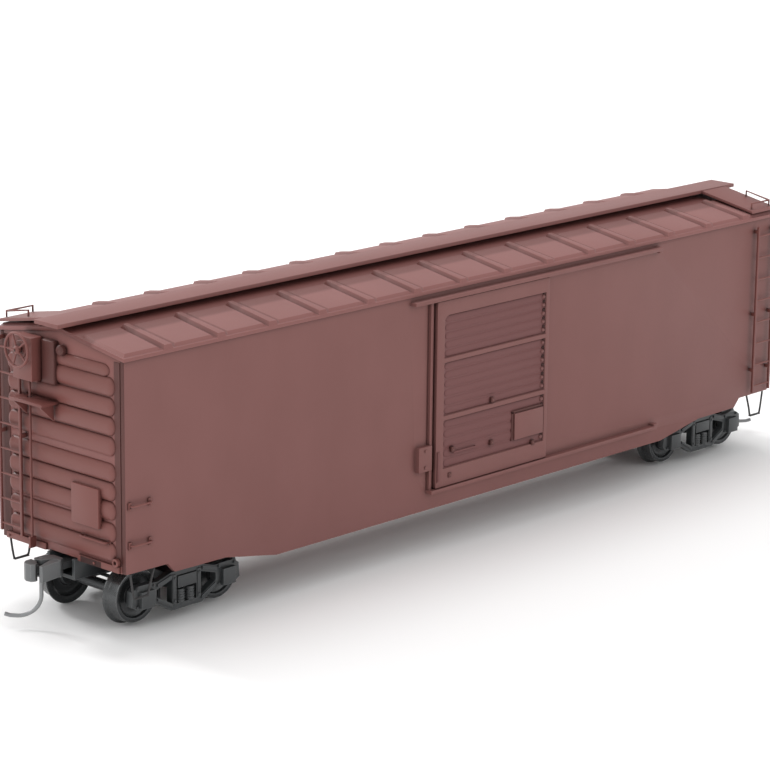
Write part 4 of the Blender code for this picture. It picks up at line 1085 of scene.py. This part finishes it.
parts.append(bolt((WHEEL_X - 0.34, brake_y, brake_z), (-1, 0, 0), SCREW_STEEL, 0.3, 0.01))
ready(joined(*parts), "hand_wheel", "brake_wheel", "body_paint", "brake_wheel")
print(f"hand wheel {2 * wheel_radius:.1f} mm across with {SPOKES} spokes")

# %% [markdown]
# The case, platform and rod keep their CAD shape with softened edges. Beside the case stand its
# bracket and a small round valve, in the dark red of painted shade.

# %% Brake case, platform and rod
(case_x, _), (case_y0, case_y1), (case_z0, case_z1) = span("brake_housing")
BRACKET_X = -END_X - 1.3
VALVE = [(0, 0), (0.75, 0), (0.9, 0.3), (0.9, 0.9), (0.5, 1.2), (0, 1.25)]
studs = [bolt((case_x + 0.98, y, z), (-1, 0, 0), FITTING_RED, 0.25, 0.16)
         for y in (case_y0 + 0.6, case_y1 - 0.6) for z in (case_z0 + 0.6, case_z1 - 0.6)]
# The bracket and the valve are in the painted shade red, where the case's shadow falls.
bracket = soft_block((BRACKET_X, -END_X - 0.05), (case_y0 - 3.4, case_y0 - 0.1),
                     (case_z0 + 0.3, case_z1 - 0.3), PAINTED_SHADE_RED, 0.3, 3)
valve = turned(VALVE, (BRACKET_X, case_y0 - 4.8, case_z1 - 1.6), "X", PAINTED_SHADE_RED, steps=20)
ready(joined(softened("brake_housing", 0.25, FITTING_RED, 3), *studs, bracket, valve), "brake_case",
      "car", "body_paint", "brake_housing")
ready(softened("brake_platform", 0.07, FITTING_RED), "brake_step", "car", "body_paint", "brake_platform")
ready(softened("brake_rod", 0.05, FITTING_RED, 1), "brake_chain_rod", "car", "body_paint", "brake_rod")
print("the brake case has", len(studs), "studs")

# %% [markdown]
# ## Couplers
# The draft-gear box is a screwed-on black tray. The coupler swings in it, and its knuckle turns on a
# pin whose lower end is bent out like an air hose. Castings have no sharp edge, so their CAD shape
# is copied with well rounded ones; the pin is one wire, because a bend of blocks would show corners.

# %% Couplers
(box_x0, box_x1), (_, box_y1), (box_z0, _) = span("coupler_box_a")
ears = [bolt((x, side * (box_y1 - 0.9), box_z0 + 0.04), (0, 0, -1), TRUCK_BLACK, 0.35, 0.04)
        for x in (box_x0 + 1.0, box_x1 - 1.2) for side in (-1, 1)]
at_both_ends(joined(softened("coupler_box_a", 0.14, TRUCK_BLACK), *ears), "draft_box_{end}", "car",
             "truck_paint", "coupler_box_{end}")
at_both_ends(softened("box_screw_a", 0.08, SCREW_STEEL), "draft_box_screw_{end}", "car", "steel",
             "box_screw_{end}")
at_both_ends(softened("coupler_a", 0.16, COUPLER_GREY, 3), "coupler_casting_{end}", "coupler_{end}",
             "steel", "coupler_{end}")
at_both_ends(softened("knuckle_a", 0.18, COUPLER_GREY, 3), "knuckle_casting_{end}", "knuckle_{end}",
             "steel", "knuckle_{end}")

PIN_X, PIN_Y, PIN_TOP, PIN_RADIUS = END_X + 4.0, -1.4, span("trip_pin_a")[2][1], 0.36
BEND_Z, BEND_OUT, BEND_DOWN, BEND_STEPS = 5.6, 4.18, 3.8, 12
PIN_SLANT = math.radians(-45)
curve = [(0.0, PIN_TOP), (0.0, BEND_Z)]
for number in range(1, BEND_STEPS + 1):
    angle = math.pi / 2 * number / BEND_STEPS
    curve.append((BEND_OUT * (1 - math.cos(angle)), BEND_Z - BEND_DOWN * math.sin(angle)))
foot_out, foot_z = curve[-1]
curve += [(foot_out + 1.3, foot_z + 0.08), (foot_out + 2.28, foot_z + 0.38)]
pin = wire(curve, PIN_RADIUS, (PIN_X, PIN_Y, 0), (math.cos(PIN_SLANT), math.sin(PIN_SLANT), 0), (0, 0, 1),
           PIN_GREY, bend=0.3, sides=14, steps=2)
at_both_ends(pin, "trip_wire_{end}", "knuckle_{end}", "steel", "trip_pin_{end}")
print(f"couplers are in; the trip wire reaches down to {foot_z - PIN_RADIUS:.1f} mm above the floor")

# %% [markdown]
# ## Trucks
# Each truck has two cast side frames, a bolster and two wheelsets. The frame's CAD solid has the right
# openings but a plain skin, so what its moulding shows is laid on: coil springs as stacked rings,
# journal lids with their hinge, braces, columns and bolts. One frame is made and mirrored.

# %% Side frames
TRUCK_X = END_X - 17.2
WHEEL_BASE = 19.25
AXLE_Z = 5.45
FRAME_OUTER, FRAME_INNER = 12.6, 11.2
SPRING_X = 1.15
COIL_RADIUS, COIL_THICK, COIL_PITCH, COIL_FOOT, COIL_TURNS = 0.82, 0.19, 0.46, 3.2, 5
LID_Y, LID_Z, LID_HALF = (13.1, 13.44), (4.3, 6.5), 1.15
BRACE = [(3.5, 2.55), (WHEEL_BASE / 2 - 2.7, 4.45), (WHEEL_BASE / 2 - 2.7, 4.9), (3.5, 3.15)]
COLUMN_X, COLUMN_HALF, COLUMN_Z = 2.9, 0.42, (3.0, 8.4)


def spring(x):
    """A coil spring: its turns as rings on top of each other."""
    rings = []
    for turn in range(COIL_TURNS):
        pick()
        bpy.ops.mesh.primitive_torus_add(
            location=Vector((x, FRAME_INNER + 0.75, COIL_FOOT + COIL_PITCH * turn)) * MM,
            major_radius=COIL_RADIUS * MM, minor_radius=COIL_THICK * MM,
            major_segments=18, minor_segments=6)
        rings.append(settled(TRUCK_BLACK))
    return rings


def frame_bolt(x, y, z, radius, high):
    """A bolt head on the outer face of a side frame."""
    return bolt((x, y, z), (0, 1, 0), TRUCK_BLACK, radius, high)


def journal(x):
    """The lid of a journal box, framed by two insets, with its hinge and the bolts beside it."""
    lid = block((x - LID_HALF, x + LID_HALF), LID_Y, LID_Z, TRUCK_BLACK)
    choose(lid, "FACE", lambda spot, way: way.y > 0.5)
    bpy.ops.mesh.inset(thickness=0.3 * MM, depth=0.0)
    bpy.ops.mesh.inset(thickness=0.2 * MM, depth=-0.12 * MM)
    leave()
    hinge = bar((x - 0.9, 13.2, 6.72), (x + 0.9, 13.2, 6.72), 0.24, TRUCK_BLACK, sides=12)
    bolts = [frame_bolt(x + side * 1.9, FRAME_OUTER, z, 0.28, 0.25)
             for side in (-1, 1) for z in (7.55, 4.3)]
    return [softly(lid, SMALL_EDGE), hinge, *bolts]


def side_frame():
    """The far side frame of truck A, with all that its moulding shows."""
    parts = [softened("side_frame_a_2", 0.13, TRUCK_BLACK)]
    parts += spring(TRUCK_X - SPRING_X) + spring(TRUCK_X + SPRING_X)
    for way in (-1, 1):
        parts += journal(TRUCK_X + way * WHEEL_BASE / 2)
        outline = [(TRUCK_X + way * along, z) for along, z in BRACE][::way]
        brace = plate(outline, FRAME_OUTER - 0.3, FRAME_OUTER + 0.3, 1, TRUCK_BLACK)
        parts.append(softly(brace, SMALL_EDGE))
        x = TRUCK_X + way * COLUMN_X
        parts.append(soft_block((x - COLUMN_HALF, x + COLUMN_HALF),
                                (FRAME_OUTER - 0.2, FRAME_OUTER + 0.22), COLUMN_Z, TRUCK_BLACK, SHEET_EDGE))
        parts += [frame_bolt(x, FRAME_OUTER + 0.2, z, 0.26, 0.22) for z in (3.6, 7.7)]
    return joined(*parts)


frame_far = side_frame()
frame_near = copy_of(frame_far, Matrix.Diagonal((1, -1, 1, 1)))
at_both_ends(frame_near, "truck_frame_{end}_1", "truck_{end}", "truck_paint", "side_frame_{end}_1")
at_both_ends(frame_far, "truck_frame_{end}_2", "truck_{end}", "truck_paint", "side_frame_{end}_2")
print("truck middles stand", round(2 * TRUCK_X, 1), "mm apart, axles", WHEEL_BASE)

# %% [markdown]
# Between the frames lies the bolster, with a brake beam on each side of it. A shoe could be cut from
# a ring, but it is small: a block is sliced and its middle is drawn in, so that it follows the wheel.

# %% Bolster with brake gear
BEAM_X, BEAM_Y, BEAM_Z = 3.35, 6.6, 4.3
SHOE_Y, SHOE_HALF, SHOE_Z, SHOE_HOLLOW = 8.9, 0.75, (3.3, 6.4), 0.28


def brake_shoe(x, way, y):
    """A shoe with a hollow face towards its wheel, with the arm and hanger that hold it."""
    shoe = block((x + way * 0.15, x + way * 0.95), (y - SHOE_HALF, y + SHOE_HALF), SHOE_Z, TRUCK_BLACK)
    slice_at(shoe, 2, (4.1, 4.85, 5.6))
    choose(shoe, "VERT", lambda spot, _: (spot.x - x) * way > 0.9 and 4.0 < spot.z < 5.7)
    bpy.ops.transform.translate(value=(-way * SHOE_HOLLOW * MM, 0, 0))
    leave()
    arm = sorted((y, y - math.copysign(3.0, y)))
    return [
        softly(shoe, SMALL_EDGE),
        bar((x + way * 0.3, arm[0], 4.4), (x + way * 0.3, arm[1], 4.4), 0.3, TRUCK_BLACK, sides=8),
        bar((x + way * 0.4, y, 6.0), (TRUCK_X + way * 1.9, y, 7.0), 0.22, TRUCK_BLACK, sides=8),
    ]


parts = [softened("truck_bolster_a", 0.14, TRUCK_BLACK)]
for way in (-1, 1):
    x = TRUCK_X + way * BEAM_X
    parts.append(bar((x, -BEAM_Y, BEAM_Z), (x, BEAM_Y, BEAM_Z), 0.33, TRUCK_BLACK, sides=10))
    parts.append(wire([(-6.2, 0), (0, 1.0), (6.2, 0)], 0.18, (x - way * 0.1, 0, BEAM_Z), (0, 1, 0),
                      (-way, 0, 0), TRUCK_BLACK))
    parts += brake_shoe(x, way, -SHOE_Y) + brake_shoe(x, way, SHOE_Y)
at_both_ends(joined(*parts), "bolster_beam_{end}", "truck_{end}", "truck_paint", "truck_bolster_{end}")
at_both_ends(softened("king_screw_a", 0.08, SCREW_STEEL), "king_pin_screw_{end}", "car", "steel",
             "king_screw_{end}")
print("bolsters carry two brake beams each")

# %% [markdown]
# ## Wheelsets
# A wheel is turned metal, and so is its model: a profile is spun once round the axle, which gives the
# flange, the coned tread and the dished plate in one closed shape. The plate is blackened; the tread
# and flange are a little paler, where the rail rubs them.

# %% Wheels and axles
TREAD_RADIUS = 4.85
WHEEL_PROFILE = [
    (1.2, 7.22), (1.9, 7.22), (2.1, 7.4), (2.25, 7.85), (2.8, 8.0), (3.6, 7.95), (3.95, 7.75),
    (4.1, 7.42), (4.3, 7.32), (5.2, 7.32), (5.38, 7.38), (5.45, 7.5), (5.42, 7.66), (5.3, 7.82),
    (5.05, 7.93), (4.91, 8.08), (TREAD_RADIUS, 8.3), (4.79, 10.1), (4.72, 10.24), (4.6, 10.3),
    (4.05, 10.3), (3.93, 10.24), (3.85, 10.1), (3.75, 9.72), (3.4, 9.5), (2.7, 9.38), (2.2, 9.5),
    (2.02, 9.75), (1.95, 10.2), (1.85, 10.33), (1.2, 10.33),
]
RIM_INNER, RIM_BACK, RIM_FRONT = 4.65, 7.45, 10.28
AXLE_PROFILE = [(0, 0), (1.0, 0), (1.0, 5.8), (1.15, 6.3), (1.15, 10.42), (0.95, 10.45), (0.95, 11.45),
                (0.85, 11.55), (0.12, 12.28), (0.0, 12.28)]


def wheel(x, sign):
    """A wheel on the axle at x, on the near side (-1) or the far side (1)."""
    disc = turned(WHEEL_PROFILE, (0, 0, 0), "Z", WHEEL_BLACK, steps=48)
    disc.data.materials.append(TREAD_METAL)
    for face in disc.data.polygons:
        middle = face.center / MM
        rubbed = math.hypot(middle.x, middle.y) > RIM_INNER and RIM_BACK < middle.z < RIM_FRONT
        face.material_index = int(rubbed)
    turn = Matrix.Rotation(-sign * math.pi / 2, 4, "X")
    disc.data.transform(Matrix.Translation((x * MM, 0, AXLE_Z * MM)) @ turn)
    return disc


mirrored_axle = [(radius, -height) for radius, height in reversed(AXLE_PROFILE[1:])]
for place, offset in (("inner", -WHEEL_BASE / 2), ("outer", WHEEL_BASE / 2)):
    x = TRUCK_X + offset
    axle = turned(mirrored_axle + AXLE_PROFILE[2:], (x, 0, AXLE_Z), "Y", WHEEL_BLACK, steps=28)
    at_both_ends(axle, "axle_bar_{end}_" + place, "wheelset_{end}_" + place, "steel",
                 "axle_{end}_" + place)
    for number, sign in ((1, -1), (2, 1)):
        tail = f"_{place}_{number}"
        at_both_ends(wheel(x, sign), "wheel_disc_{end}" + tail, "wheelset_{end}_" + place, "wheel_metal",
                     "wheel_{end}" + tail)
print("wheels are", 2 * TREAD_RADIUS, "mm over the tread")

# %% [markdown]
# ## Underframe
# Under the floor run the centre sill, cross bearers and the air-brake gear. The CAD solid holds the
# large shapes and is copied with soft edges. What is thin, the pipes, rods, levers, hoops and bolt
# heads, is added as wires, bars and turned rings, because such things show most from below.

# %% Underframe
RAIL_HALF = TRUCK_X - 17.5
RODS = ((-40.0, -14.0, 5.4), (-13.5, 40.0, -5.4))
LEVERS = ((-16.0, 5.6), (14.5, -5.6))
TANKS = ((-10, 9.0, 10.3, 1.7, 7.0), (8, -9.0, 10.2, 1.9, 10.0))
BEARERS, BEARER_BOLTS = (-45, -20, 20, 45), (-11.5, -7.4, 7.4, 11.5)
PIPE_RADIUS, PIPE_BEND = 0.22, 0.9


def tank_fittings(x, y, z, radius, length):
    """Two hoops round an air tank and the dished cap on its end."""
    hoop = [(radius - 0.1, 0.0), (radius + 0.16, 0.0), (radius + 0.16, 0.4), (radius - 0.1, 0.4)]
    cap = [(0, 0), (radius * 0.95, 0), (radius * 0.9, 0.25), (radius * 0.55, 0.45), (0, 0.5)]
    made = [turned(hoop, (x + end * length * 0.41, y, z), "X", UNDER_RED, steps=24) for end in (-1, 1)]
    return [*made, turned(cap, (x + length / 2, y, z), "X", UNDER_RED, steps=24)]


parts = [softened("underframe", 0.12, UNDER_RED)]
for y in (-3.4, 3.0):
    parts.append(bar((-RAIL_HALF, y, 11.2), (RAIL_HALF, y, 11.2), 0.3, UNDER_RED, sides=10))
for path, start in (([(-14, 0), (-14, 3.0), (-9.0, 3.0), (-9.0, 5.2)], (4.0, 3.2, 11.0)),
                    ([(0, 0), (0, -4.6), (5.0, -4.6)], (1.0, 9.8, 10.6))):
    parts.append(wire(path, PIPE_RADIUS, start, (1, 0, 0), (0, 1, 0), UNDER_RED, bend=PIPE_BEND))
for x0, x1, y in RODS:
    parts.append(bar((x0, y, 10.7), (x1, y, 10.7), 0.18, UNDER_RED, sides=8))
for x, y in LEVERS:
    ends = (y - math.copysign(4.6, y), y + math.copysign(1.0, y))
    parts.append(soft_block((x - 0.6, x + 0.6), ends, (10.5, 10.9), UNDER_RED, SHEET_EDGE))
for tank in TANKS:
    parts += tank_fittings(*tank)
for x in BEARERS:
    for y in BEARER_BOLTS:
        parts.append(bolt((x, y, 10.1 + (abs(y) - 2.5) * 0.135), (0, 0, -1), UNDER_RED, 0.22, 0.12))
ready(joined(*parts), "underframe_and_brakes", "car", "underframe_paint", "underframe")
print("underframe has", len(parts) - 1, "fittings")

# %% [markdown]
# The ballast plate lies on the floor inside and brings the light shell to its proper weight. It shows
# only through an open door: rolled steel with rounded edges is enough.

# %% Ballast plate
ready(softened("weight", 0.2, WEIGHT_STEEL), "ballast_plate", "car", "weight_steel", "weight")
print("the ballast plate is", round(2 * span("weight")[0][1], 1), "mm long")
